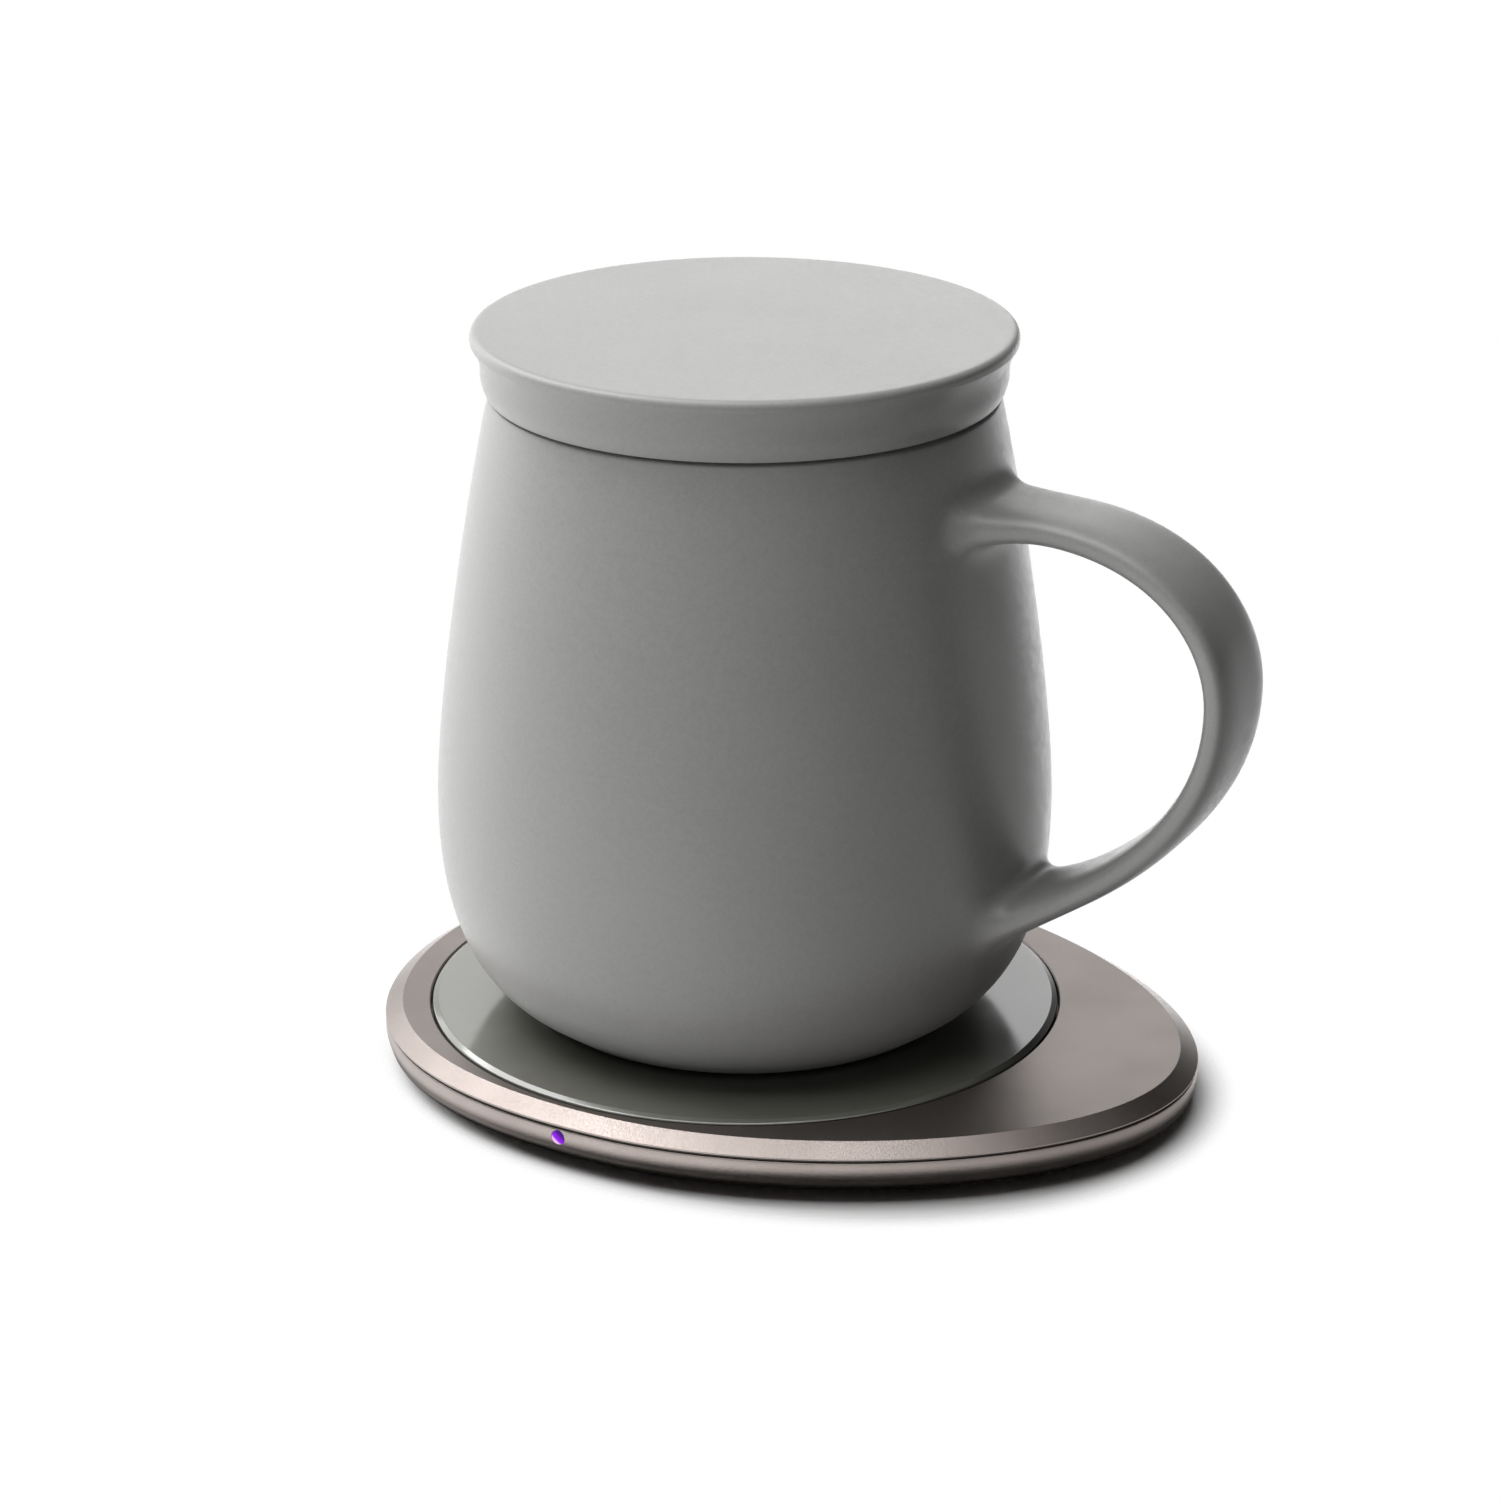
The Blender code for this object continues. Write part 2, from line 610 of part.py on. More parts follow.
def body_outline():
    """The mug's outer curve from just under its lip down to the edge of its underside."""
    mouth = (MOUTH_RADIUS, MUG_HEIGHT - LIP_ROUND)
    mouth_pull = (MOUTH_PULL * math.sin(MOUTH_LEAN), -MOUTH_PULL * math.cos(MOUTH_LEAN))
    belly = (BELLY_RADIUS, BELLY_HEIGHT)
    base = (BASE_EDGE_RADIUS, BASE_EDGE_HEIGHT)
    base_pull = (BASE_PULL * math.cos(BASE_RISE), BASE_PULL * math.sin(BASE_RISE))
    upper = bezier(mouth, mouth_pull, (0, BELLY_PULL_UP), belly)
    lower = bezier(belly, (0, -BELLY_PULL_DOWN), base_pull, base)
    return upper + lower[1:]


def body_radius(height):
    """The outer radius of the mug at this height."""
    outline = body_outline()
    for (high_radius, high), (low_radius, low) in zip(outline, outline[1:]):
        if low <= height <= high:
            share = (height - low) / (high - low)
            return low_radius + share * (high_radius - low_radius)
    return outline[0][0] if height > outline[0][1] else outline[-1][0]


def handle_line():
    """The handle's centre line as (distance from the axis, height) points, top root first."""
    top = (MOUTH_INNER_RADIUS + HANDLE_TOP_EMBED, HANDLE_TOP_HEIGHT)
    reach = (HANDLE_REACH, HANDLE_REACH_HEIGHT)
    low = (BELLY_RADIUS - HANDLE_LOW_EMBED, HANDLE_LOW_HEIGHT)
    top_pull = (
        HANDLE_TOP_PULL * math.cos(HANDLE_TOP_RISE),
        HANDLE_TOP_PULL * math.sin(HANDLE_TOP_RISE),
    )
    low_pull = (
        HANDLE_LOW_PULL * math.cos(HANDLE_LOW_RISE),
        HANDLE_LOW_PULL * math.sin(HANDLE_LOW_RISE),
    )
    upper = bezier(top, top_pull, (0, HANDLE_PULL_UP), reach, STRAP_STEPS)
    lower = bezier(reach, (0, -HANDLE_PULL_DOWN), low_pull, low, STRAP_STEPS)
    return upper + lower[1:]


def strap_side(side):
    """Where this side of the strap's rounded oblong lies, as shares of its half width and half
    thickness, and the direction that it faces."""
    angle = math.tau * side / STRAP_SIDES
    power = 2 / HANDLE_SQUARENESS
    cosine, sine = math.cos(angle), math.sin(angle)
    across = math.copysign(abs(cosine) ** power, cosine)
    through = math.copysign(abs(sine) ** power, sine)
    facing = Vector((
        math.copysign(abs(cosine) ** (2 - power), cosine) / HANDLE_WIDTH,
        math.copysign(abs(sine) ** (2 - power), sine) / HANDLE_THICKNESS,
    ))
    return across, through, facing.normalized()


def strap_point(line, position, side):
    """A point on the plain strap, its position counted in points of the centre line."""
    first = min(int(position), len(line) - 2)
    centre = line[first].lerp(line[first + 1], position - first)
    before = line[first + 1] - line[max(first - 1, 0)]
    after = line[min(first + 2, len(line) - 1)] - line[first]
    along = before.normalized().lerp(after.normalized(), position - first).normalized()
    width = HANDLE_WIDTH
    width += (HANDLE_ROOT_WIDTH - HANDLE_WIDTH) * position / (len(line) - 1)
    share = 1 - (centre.x - body_radius(centre.y)) / ROOT_FLARE_REACH
    flare = min(max(share, 0), 1) ** 2
    width += ROOT_FLARE_WIDTH * flare
    across, through, _ = strap_side(side)
    rise = through * (HANDLE_THICKNESS + ROOT_FLARE_THICKNESS * flare) / 2
    return Vector((
        centre.x - along.y * rise,
        across * width / 2,
        centre.y + along.x * rise,
    ))


def body_distance(point):
    return math.hypot(point.x, point.y) - body_radius(point.z)


def root_ring(line, inside, clear, degrees, depth=0.0):
    """A ring of the fillet at a root, level with the body's skin, at this angle of its quarter
    circle. The strap is inside the body at one position on its line and clear of it at the other."""
    turn = math.radians(degrees)
    gap = HANDLE_ROOT_ROUND * (1 - math.sin(turn))
    swell = HANDLE_ROOT_ROUND * (1 - math.cos(turn))
    up = 1 if inside < clear else -1
    ring = []
    for side in range(STRAP_SIDES):
        low, high = inside, clear
        for _ in range(BISECTIONS):
            middle = (low + high) / 2
            if body_distance(strap_point(line, middle, side)) < gap:
                low = middle
            else:
                high = middle
        point = strap_point(line, low, side)
        facing = strap_side(side)[2]
        y = point.y + swell * facing.x
        z = point.z + swell * facing.y * up
        reach = body_radius(z) + gap - depth
        ring.append((math.sqrt(reach**2 - y**2), y, z))
    return ring


def handle_rows():
    """Rings of the strap from the upper root to the lower one, with a fillet at each."""
    line = [Vector(point) for point in handle_line()]
    last = len(line) - 1
    middle = last / 2
    free = [
        i for i in range(len(line))
        if min(body_distance(strap_point(line, i, side)) for side in range(STRAP_SIDES))
        > HANDLE_ROOT_ROUND * ROOT_CLEAR_SHARE
    ]
    rows = [root_ring(line, 0, middle, 90, HANDLE_ROOT_DEPTH)]
    rows += [root_ring(line, 0, middle, degrees) for degrees in FILLET_DEGREES]
    for i in free:
        rows.append([strap_point(line, i, side) for side in range(STRAP_SIDES)])
    rows += [root_ring(line, last, middle, degrees) for degrees in reversed(FILLET_DEGREES)]
    rows.append(root_ring(line, last, middle, 90, HANDLE_ROOT_DEPTH))
    return rows


def build_mug_body(frame):
    """The outer form and the handle in one, then the drinking space and the recess cut out."""
    outer = body_outline()
    lip = arc((MOUTH_RADIUS - LIP_ROUND, MUG_HEIGHT - LIP_ROUND), LIP_ROUND, 90, 0)
    profile = [(0, MUG_HEIGHT)] + lip[:-1] + outer + [(0, BASE_EDGE_HEIGHT)]
    body = turned("mug_body", profile, CERAMIC, frame, BODY_SIDES)
    handle = loft("handle_form", handle_rows(), None, frame)
    join(body, handle)

    inner_lip = (MOUTH_INNER_RADIUS, MUG_HEIGHT - LIP_ROUND)
    mouth_pull = (MOUTH_PULL * math.sin(MOUTH_LEAN), -MOUTH_PULL * math.cos(MOUTH_LEAN))
    belly = (BELLY_RADIUS - WALL, BELLY_HEIGHT)
    floor_edge = (CAVITY_FLAT_RADIUS, CAVITY_FLOOR)
    rounded = arc((MOUTH_INNER_RADIUS + LIP_ROUND, inner_lip[1]), LIP_ROUND, 90, 180)
    mouth = [(0, MUG_HEIGHT + OVERRUN), (MOUTH_INNER_RADIUS + LIP_ROUND, MUG_HEIGHT + OVERRUN)]
    wall = bezier(inner_lip, mouth_pull, (0, BELLY_PULL_UP), belly, INSIDE_STEPS)
    floor_pull = (CAVITY_FLOOR_PULL, 0)
    bowl = bezier(belly, (0, -CAVITY_WALL_PULL), floor_pull, floor_edge, INSIDE_STEPS)
    space = mouth + rounded[:-1] + wall + bowl[1:] + [(0, CAVITY_FLOOR)]
    cavity = turned("cavity_form", space, None, frame, BODY_SIDES)

    cover_hole = COVER_RADIUS + FIT_GAP
    recess_profile = [
        (0, RECESS_TOP),
        (MODULE_RADIUS + FIT_GAP, RECESS_TOP),
        (MODULE_RADIUS + FIT_GAP, RECESS_STEP),
        (cover_hole, RECESS_STEP),
        (cover_hole, -OVERRUN),
        (0, -OVERRUN),
    ]
    recess = turned("recess_form", recess_profile, None, frame)
    cut(body, cavity, recess)
    return body


def build_foot(frame):
    """The cover that closes the recess, the ring the mug stands on and the seal above the cover."""
    groove_outer = FOOT_OUTER_RADIUS + THIN_GAP
    groove_inner = FOOT_OUTER_RADIUS - FOOT_WIDTH - THIN_GAP
    groove_top = COVER_LIFT + FOOT_GROOVE_DEPTH
    cover = [
        (0, COVER_TOP),
        (COVER_RADIUS, COVER_TOP),
        (COVER_RADIUS, COVER_LIFT),
        (groove_outer, COVER_LIFT),
        (groove_outer, groove_top),
        (groove_inner, groove_top),
        (groove_inner, COVER_LIFT),
        (0, COVER_LIFT),
    ]
    turned("base_cover", cover, DARK_PLASTIC, frame)
    ring_inner = FOOT_OUTER_RADIUS - FOOT_WIDTH
    ring_top = groove_top - THIN_GAP
    ring = [
        (FOOT_OUTER_RADIUS, ring_top),
        (FOOT_OUTER_RADIUS, FOOT_EASE),
        (FOOT_OUTER_RADIUS - FOOT_EASE, 0),
        (ring_inner + FOOT_EASE, 0),
        (ring_inner, FOOT_EASE),
        (ring_inner, ring_top),
    ]
    turned("foot_ring", ring, SILICONE, frame, ring=True)
    disc(
        "base_seal", COVER_RADIUS, BASE_SEAL_THICKNESS, SILICONE, frame,
        COVER_TOP + THIN_GAP, COVER_RADIUS - BASE_SEAL_WIDTH,
    )


def build_module(frame):
    """The coil, its ferrite and board, the insulation and the heater, stacked in the recess."""
    flat_spiral(
        "receiver_coil", RECEIVER_INNER_RADIUS, RECEIVER_PITCH, RECEIVER_TURNS, RECEIVER_WIRE,
        COPPER, frame, RECEIVER_COIL_HEIGHT,
    )
    disc(
        "receiver_ferrite", RECEIVER_FERRITE_RADIUS, RECEIVER_FERRITE_THICKNESS, FERRITE, frame,
        RECEIVER_FERRITE_HEIGHT,
    )
    disc(
        "receiver_board", MODULE_RADIUS, RECEIVER_BOARD_THICKNESS, BOARD, frame,
        RECEIVER_BOARD_HEIGHT,
    )
    for i in range(RECEIVER_CHIP_COUNT):
        angle = math.tau * i / RECEIVER_CHIP_COUNT
        reach = MODULE_RADIUS * RECEIVER_CHIP_REACH_SHARE
        centre = RECEIVER_CHIPS_HEIGHT + RECEIVER_CHIP_HEIGHT / 2
        place = (reach * math.cos(angle), reach * math.sin(angle), centre)
        size = (CHIP_SIDE, CHIP_SIDE, RECEIVER_CHIP_HEIGHT)
        box(f"receiver_chip_{i + 1}", size, place, CHIP, frame)
    disc(
        "heat_insulator", MODULE_RADIUS, INSULATOR_THICKNESS, INSULATION, frame,
        INSULATOR_HEIGHT, SENSOR_RADIUS + FIT_GAP,
    )
    disc(
        "mug_thermistor", SENSOR_RADIUS, INSULATOR_THICKNESS, SENSOR, frame,
        INSULATOR_HEIGHT + THIN_GAP, sides=SMALL_SIDES,
    )
    disc("heater_disc", HEATER_RADIUS, HEATER_THICKNESS, HEATER, frame, HEATER_HEIGHT)
    disc(
        "thermal_pad", HEATER_RADIUS, THERMAL_PAD_THICKNESS, THERMAL_PAD, frame,
        THERMAL_PAD_HEIGHT,
    )


def build_lid(frame):
    """The lid and the seal in its groove."""
    band_end = (LID_BAND_RADIUS, LID_BAND_TOP)
    flange_low = (LID_FLANGE_RADIUS, LID_FLANGE_HEIGHT)
    lean = (
        -LID_FLARE_PULL * math.sin(LID_FLARE_LEAN),
        -LID_FLARE_PULL * math.cos(LID_FLARE_LEAN),
    )
    edge = LID_FLANGE_RADIUS - LID_EDGE_ROUND
    top = arc((edge, LID_HEIGHT - LID_EDGE_ROUND), LID_EDGE_ROUND, 90, 0)
    flare = bezier(flange_low, lean, (0, LID_FLARE_PULL), band_end, 4)
    band_low = (LID_BAND_RADIUS - LID_BAND_TUCK, 0)
    roll = (LID_ROLL_PULL, LID_ROLL_PULL)
    band = bezier(band_end, (0, -LID_BAND_PULL), roll, band_low, 4)
    groove_top = -SEAL_DROP
    groove_low = groove_top - SEAL_HEIGHT - 2 * THIN_GAP
    groove_radius = SPIGOT_RADIUS - SEAL_DEPTH
    end_centre = (SPIGOT_RADIUS - SPIGOT_ROUND, SPIGOT_ROUND - SPIGOT_DEPTH)
    ceiling = LID_HEIGHT - LID_TOP_THICKNESS
    hollow_centre = (SPIGOT_INNER_RADIUS - LID_HOLLOW_ROUND, ceiling - LID_HOLLOW_ROUND)
    profile = [(0, LID_HEIGHT)] + top + flare + band + [
        (SPIGOT_RADIUS, 0),
        (SPIGOT_RADIUS, groove_top),
        (groove_radius, groove_top),
        (groove_radius, groove_low),
        (SPIGOT_RADIUS, groove_low),
    ]
    profile += arc(end_centre, SPIGOT_ROUND, 0, -90)
    profile += [(SPIGOT_INNER_RADIUS, -SPIGOT_DEPTH)]
    profile += arc(hollow_centre, LID_HOLLOW_ROUND, 0, 90)
    profile += [(0, ceiling)]
    turned("lid", profile, CERAMIC, frame, BODY_SIDES)

    seal_inner = groove_radius + THIN_GAP
    seal_outer = MOUTH_INNER_RADIUS - FIT_GAP
    seal_top = groove_top - THIN_GAP
    seal_low = seal_top - SEAL_HEIGHT
    seal = [
        (seal_inner, seal_top),
        (seal_outer, seal_top),
        (seal_outer, (seal_top + seal_low) / 2),
        (SPIGOT_RADIUS, seal_low),
        (seal_inner, seal_low),
    ]
    turned("lid_seal", seal, SILICONE, frame, BODY_SIDES, ring=True)


def build_top_shell(frame):
    """The metal top: a chamfered egg with a stepped round well for the plate."""
    inner_skirt = SKIN + FIT_GAP
    rows = [
        egg_row(0, SKIRT_HEIGHT),
        egg_row(0, SKIRT_HEIGHT + CHAMFER_EASE),
        egg_row(CHAMFER_INSET, PAD_TOP),
        round_row(PLATE_HOLE_RADIUS, PAD_TOP),
        round_row(PLATE_HOLE_RADIUS, LEDGE_TOP),
        round_row(LEDGE_INNER_RADIUS, LEDGE_TOP),
        round_row(LEDGE_INNER_RADIUS, LEDGE_UNDERSIDE),
        round_row(PLATE_HOLE_RADIUS + COLLAR_WALL, LEDGE_UNDERSIDE),
        round_row(PLATE_HOLE_RADIUS + COLLAR_WALL, PAD_TOP - SKIN),
        egg_row(CHAMFER_INSET + SKIN / 2, PAD_TOP - SKIN),
        egg_row(inner_skirt, SKIRT_HEIGHT),
    ]
    return loft("pad_top_shell", rows, PAD_METAL, frame, ring=True)


def build_base(frame):
    """The lower shell: a round-bellied band that curls under to a flat base with a mat pocket."""
    band_low = RIM_HEIGHT - BAND_HEIGHT
    pocket = MAT_INSET - FIT_GAP
    pocket_top = MAT_THICKNESS + THIN_GAP
    curl_height = band_low - UNDERSIDE_HEIGHT
    curl_inset = UNDERSIDE_INSET - BAND_TAPER
    curl = []
    for degrees in CURL_DEGREES:
        angle = math.radians(degrees)
        inset = BAND_TAPER + curl_inset * (1 - math.cos(angle))
        curl.append(egg_row(inset, band_low - curl_height * math.sin(angle)))
    band = [
        egg_row(BAND_TAPER * inset, RIM_HEIGHT - BAND_HEIGHT * drop)
        for inset, drop in zip(BAND_INSET_SHARES, BAND_DROP_SHARES)
    ]
    inside = SIDE_WALL + BAND_TAPER
    rows = [
        egg_row(UNDERSIDE_INSET, FLOOR_TOP),
        egg_row(inside + curl_inset * BASE_INSIDE_SHARE, FLOOR_TOP + SMALL_BEVEL),
        egg_row(inside, band_low),
        egg_row(SIDE_WALL, RIM_HEIGHT),
        *band,
        *curl,
        egg_row(pocket, UNDERSIDE_HEIGHT),
        egg_row(pocket, pocket_top),
    ]
    base = loft("pad_base", rows, PAD_METAL, frame)

    boss_top = BOARD_HEIGHT - THIN_GAP
    boss_middle = (FLOOR_TOP - SMALL_BEVEL + boss_top) / 2
    boss_length = boss_top - FLOOR_TOP + SMALL_BEVEL
    for i, (x, y) in enumerate(board_screw_places()):
        place = (x, y, boss_middle)
        join(base, rod(f"board_boss_{i}", BOARD_BOSS_RADIUS, boss_length, place, None, frame))
    for i, (x, y) in enumerate(board_screw_places()):
        radius = SCREW_SHANK_RADIUS + THIN_GAP
        depth = BOARD_SCREW_LENGTH - BOARD_THICKNESS + FIT_GAP
        place = (x, y, boss_top - depth / 2 + OVERRUN / 2)
        cut(base, rod(f"board_screw_hole_{i}", radius, depth + OVERRUN, place, None, frame))
    seat_radius = PAD_SCREW_HEAD_RADIUS + POST_SEAT_MARGIN
    seat_length = POST_SEAT_TOP - FLOOR_TOP + SMALL_BEVEL
    for i, (x, y) in enumerate(post_places()):
        place = (x, y, POST_SEAT_TOP - seat_length / 2)
        join(base, rod(f"post_seat_{i}", seat_radius, seat_length, place, None, frame))
    for i, (x, y) in enumerate(post_places()):
        radius = PAD_SCREW_SHANK_RADIUS + THIN_GAP
        length = POST_SEAT_TOP + OVERRUN
        hole = rod(f"post_hole_{i}", radius, length, (x, y, length / 2), None, frame)
        head_radius = PAD_SCREW_HEAD_RADIUS + THIN_GAP
        depth = PAD_SCREW_SEAT - pocket_top
        place = (x, y, pocket_top + (depth - OVERRUN) / 2)
        head = rod(f"head_hole_{i}", head_radius, depth + OVERRUN, place, None, frame)
        cut(base, hole, head)
    radius = LIGHT_RADIUS + LIGHT_CLEARANCE
    place = (LIGHT_X, -side_reach_at(LIGHT_X), LIGHT_HEIGHT)
    length = 2 * (SIDE_WALL + BAND_TAPER + OVERRUN)
    light = rod("light_hole", radius, length, place, None, frame, "Y")
    cut(base, light)
    return base


def usb_frame_on(parent):
    """An empty on the outline halfway from the nose to the +Y side, its own +Y pointing out."""
    outline = egg()
    middle = EGG_STEPS // 2
    along = Vector(outline[middle + 1]) - Vector(outline[middle - 1])
    made = frame_at("usb_frame", USB_CENTRE_HEIGHT, parent)
    made.location.xy = outline[middle]
    made.rotation_euler.z = math.atan2(-along.y, -along.x)
    return made


def usb_bar(name, growth, front, length, finish, frame):
    """A bar along the frame's Y with the receptacle's rounded section, this much larger round."""
    half_width = USB_WIDTH / 2 + growth
    half_height = USB_HEIGHT / 2 + growth
    straight = half_width - half_height
    section = arc((straight, 0), half_height, -90, 90, 6)
    section += arc((-straight, 0), half_height, 90, 270, 6)
    rows = [[(x, y, z) for x, z in section] for y in (front, front - length)]
    return loft(name, rows, finish, frame)


def build_usb(frame, base, board):
    """The drawn steel shell, the insert with the contact tongue, and the room for them."""
    shell = usb_bar("usb_shell", 0, -USB_RECESS, USB_DEPTH, STEEL, frame)
    cut(shell, usb_bar("usb_bore", -USB_SHELL, OVERRUN, USB_DEPTH + 2 * OVERRUN, None, frame))
    back = -USB_RECESS - USB_DEPTH
    growth = -USB_SHELL - THIN_GAP
    insert = usb_bar("usb_tongue", growth, back + USB_BACK, USB_BACK, CHIP, frame)
    length = TONGUE_LENGTH + USB_BACK / 2
    size = (TONGUE_WIDTH, length, TONGUE_THICKNESS)
    place = (0, back + (USB_BACK + length) / 2, 0)
    join(insert, box("tongue_form", size, place, None, frame))
    length = 2 * OVERRUN + USB_RECESS + SIDE_WALL + BAND_TAPER
    cut(base, usb_bar("usb_hole", REST_GAP, OVERRUN, length, None, frame))
    size = (USB_WIDTH + 2 * FIT_GAP, 2 * (FIT_GAP - back), USB_HEIGHT)
    cut(board, box("usb_notch", size, (0, 0, 0), None, frame))


def build_plate(frame):
    """The glass plate with its rounded edge, and the adhesive ring under it."""
    edge = (PLATE_RADIUS - PLATE_EDGE_ROUND, PLATE_THICKNESS - PLATE_EDGE_ROUND)
    profile = [(0, PLATE_THICKNESS)] + arc(edge, PLATE_EDGE_ROUND, 90, 0, 4)
    profile += [(PLATE_RADIUS, 0), (0, 0)]
    turned("pad_plate", profile, PLATE_GLASS, frame, BODY_SIDES, height=PLATE_UNDERSIDE)
    outer = LEDGE_INNER_RADIUS + (LEDGE_WIDTH + PLATE_GASKET_WIDTH) / 2
    disc(
        "plate_gasket", outer, PLATE_GASKET_THICKNESS, SILICONE, frame, LEDGE_TOP + THIN_GAP,
        outer - PLATE_GASKET_WIDTH,
    )


def build_carrier(frame):
    """A turned tray: the shelf under the plate, the lip under the ledge and the coil's pocket."""
    lip_top = LEDGE_UNDERSIDE - FIT_GAP
    lip_low = lip_top - CARRIER_LIP_THICKNESS
    lip_radius = LEDGE_INNER_RADIUS + CARRIER_LIP_WIDTH
    underside = POCKET_FLOOR - CARRIER_FLOOR_THICKNESS
    profile = [
        (0, POCKET_FLOOR),
        (POCKET_RADIUS, POCKET_FLOOR),
        (POCKET_RADIUS, SHELF_TOP),
        (SHELF_RADIUS, SHELF_TOP),
        (SHELF_RADIUS, lip_top),
        (lip_radius, lip_top),
        (lip_radius, lip_low),
        (SHELF_RADIUS - CARRIER_WALL, lip_low),
        (SHELF_RADIUS - CARRIER_WALL, SHELF_UNDERSIDE),
        (POCKET_WALL_RADIUS, SHELF_UNDERSIDE),
        (POCKET_WALL_RADIUS, underside),
        (0, underside),
    ]
    carrier = turned("coil_carrier", profile, DARK_PLASTIC, frame)
    top = (SHELF_TOP + SHELF_UNDERSIDE) / 2
    length = top - POST_FOOT_HEIGHT
    hole_radius = PAD_SCREW_SHANK_RADIUS + THIN_GAP
    hole_length = PAD_SCREW_SEAT + PAD_SCREW_LENGTH - POST_FOOT_HEIGHT + FIT_GAP
    for i, (x, y) in enumerate(post_places()):
        place = (x, y, (top + POST_FOOT_HEIGHT) / 2)
        join(carrier, rod(f"carrier_post_{i}", POST_RADIUS, length, place, None, frame))
        place = (x, y, POST_FOOT_HEIGHT + (hole_length - OVERRUN) / 2)
        hole = rod(f"carrier_hole_{i}", hole_radius, hole_length + OVERRUN, place, None, frame)
        cut(carrier, hole)
    disc(
        "transmitter_ferrite", PAD_FERRITE_RADIUS, PAD_FERRITE_THICKNESS, FERRITE, frame,
        PAD_FERRITE_HEIGHT, PAD_FERRITE_HOLE,
    )
    flat_spiral(
        "transmitter_coil", PAD_COIL_INNER_RADIUS, PAD_COIL_PITCH, PAD_COIL_TURNS, PAD_WIRE,
        COPPER, frame, PAD_COIL_HEIGHT,
    )
    disc(
        "pad_thermistor", PAD_SENSOR_RADIUS, SHELF_TOP - PAD_FERRITE_HEIGHT, SENSOR, frame,
        PAD_FERRITE_HEIGHT, sides=SMALL_SIDES,
    )


def screw(name, place, head_radius, head_height, shank_radius, length, points_up, frame):
    """A turned screw whose head sits on the board or, pointing up, in the base's counterbore."""
    profile = [
        (0, head_height),
        (head_radius, head_height),
        (head_radius, 0),
        (shank_radius, 0),
        (shank_radius, -length),
        (0, -length),
    ]
    made = turned(name, profile, STEEL, frame, SMALL_SIDES)
    made.location = place
    if points_up:
        made.rotation_euler.x = math.pi
    return made


def build_screws(frame):
    """Three pan heads that hold the board, and four screws that pull the shells together."""
    for i, (x, y) in enumerate(board_screw_places()):
        screw(
            f"board_screw_{i + 1}", (x, y, BOARD_TOP + THIN_GAP), SCREW_HEAD_RADIUS,
            SCREW_HEAD_HEIGHT, SCREW_SHANK_RADIUS, BOARD_SCREW_LENGTH, False, frame,
        )
    for i, (x, y) in enumerate(post_places()):
        screw(
            f"pad_screw_{i + 1}", (x, y, PAD_SCREW_SEAT - THIN_GAP), PAD_SCREW_HEAD_RADIUS,
            PAD_SCREW_HEAD_HEIGHT, PAD_SCREW_SHANK_RADIUS, PAD_SCREW_LENGTH, True, frame,
        )


def build_board(frame):
    """The main board round the coil, its chips, inductor and capacitors, and the fasteners."""
    hole = circle(POCKET_WALL_RADIUS + BOARD_HOLE_CLEARANCE)
    outlines = [egg(BOARD_INSET), hole]
    for x, y in post_places():
        outlines.append(circle(POST_RADIUS + POST_HOLE_CLEARANCE, x, y, SMALL_SIDES))
    for x, y in board_screw_places():
        outlines.append(circle(SCREW_SHANK_RADIUS + THIN_GAP, x, y, SMALL_SIDES))
    board = flat_plate("main_board", outlines, BOARD_HEIGHT, BOARD_THICKNESS, BOARD, frame)
    for i in range(CHIP_COUNT):
        y = (i - (CHIP_COUNT - 1) / 2) * CHIP_SPACING
        place = (CHIP_X, y, BOARD_TOP + THIN_GAP + CHIP_HEIGHT / 2)
        box(f"driver_chip_{i + 1}", (CHIP_SIDE, CHIP_SIDE, CHIP_HEIGHT), place, CHIP, frame)
    ceiling = PAD_TOP - SKIN
    low, high = BOARD_TOP + THIN_GAP, ceiling - INDUCTOR_HEADROOM
    place = (INDUCTOR_X, INDUCTOR_Y, (low + high) / 2)
    size = (INDUCTOR_SIDE, INDUCTOR_SIDE, high - low)
    box("power_inductor", size, place, FERRITE, frame, SMALL_BEVEL)
    high = ceiling - CAPACITOR_HEADROOM
    for i in range(CAPACITOR_COUNT):
        x = INDUCTOR_X + (i - (CAPACITOR_COUNT - 1) / 2) * CAPACITOR_SPACING
        place = (x, CAPACITOR_Y, (low + high) / 2)
        rod(f"board_capacitor_{i + 1}", CAPACITOR_RADIUS, high - low, place, STEEL, frame)
    return board


def build_light(frame):
    """The light emitting diode on the board's edge and the clear pipe through the wall."""
    ends = (LIGHT_X - LIGHT_FLANGE_RADIUS, LIGHT_X + LIGHT_FLANGE_RADIUS)
    flange_front = -min(side_reach_at(x) for x in ends) + SIDE_WALL + BAND_TAPER + FIT_GAP
    flange_back = flange_front + LIGHT_FLANGE_THICKNESS
    window = -side_reach_at(LIGHT_X) + BAND_TAPER * BAND_INSET_SHARES[0]
    length = flange_back - window
    middle = (window + flange_back) / 2
    pipe = rod("light_pipe", LIGHT_RADIUS, length, (LIGHT_X, middle, LIGHT_HEIGHT), CLEAR, frame, "Y")
    place = (LIGHT_X, flange_back - LIGHT_FLANGE_THICKNESS / 2, LIGHT_HEIGHT)
    flange = rod(
        "light_flange", LIGHT_FLANGE_RADIUS, LIGHT_FLANGE_THICKNESS, place, None, frame, "Y"
    )
    join(pipe, flange)
    led_middle = flange_back + FIT_GAP + LED_DEPTH / 2
    place = (LIGHT_X, led_middle, BOARD_TOP + THIN_GAP + LED_HEIGHT / 2)
    box("status_led", (LED_WIDTH, LED_DEPTH, LED_HEIGHT), place, LED_LIGHT, frame)


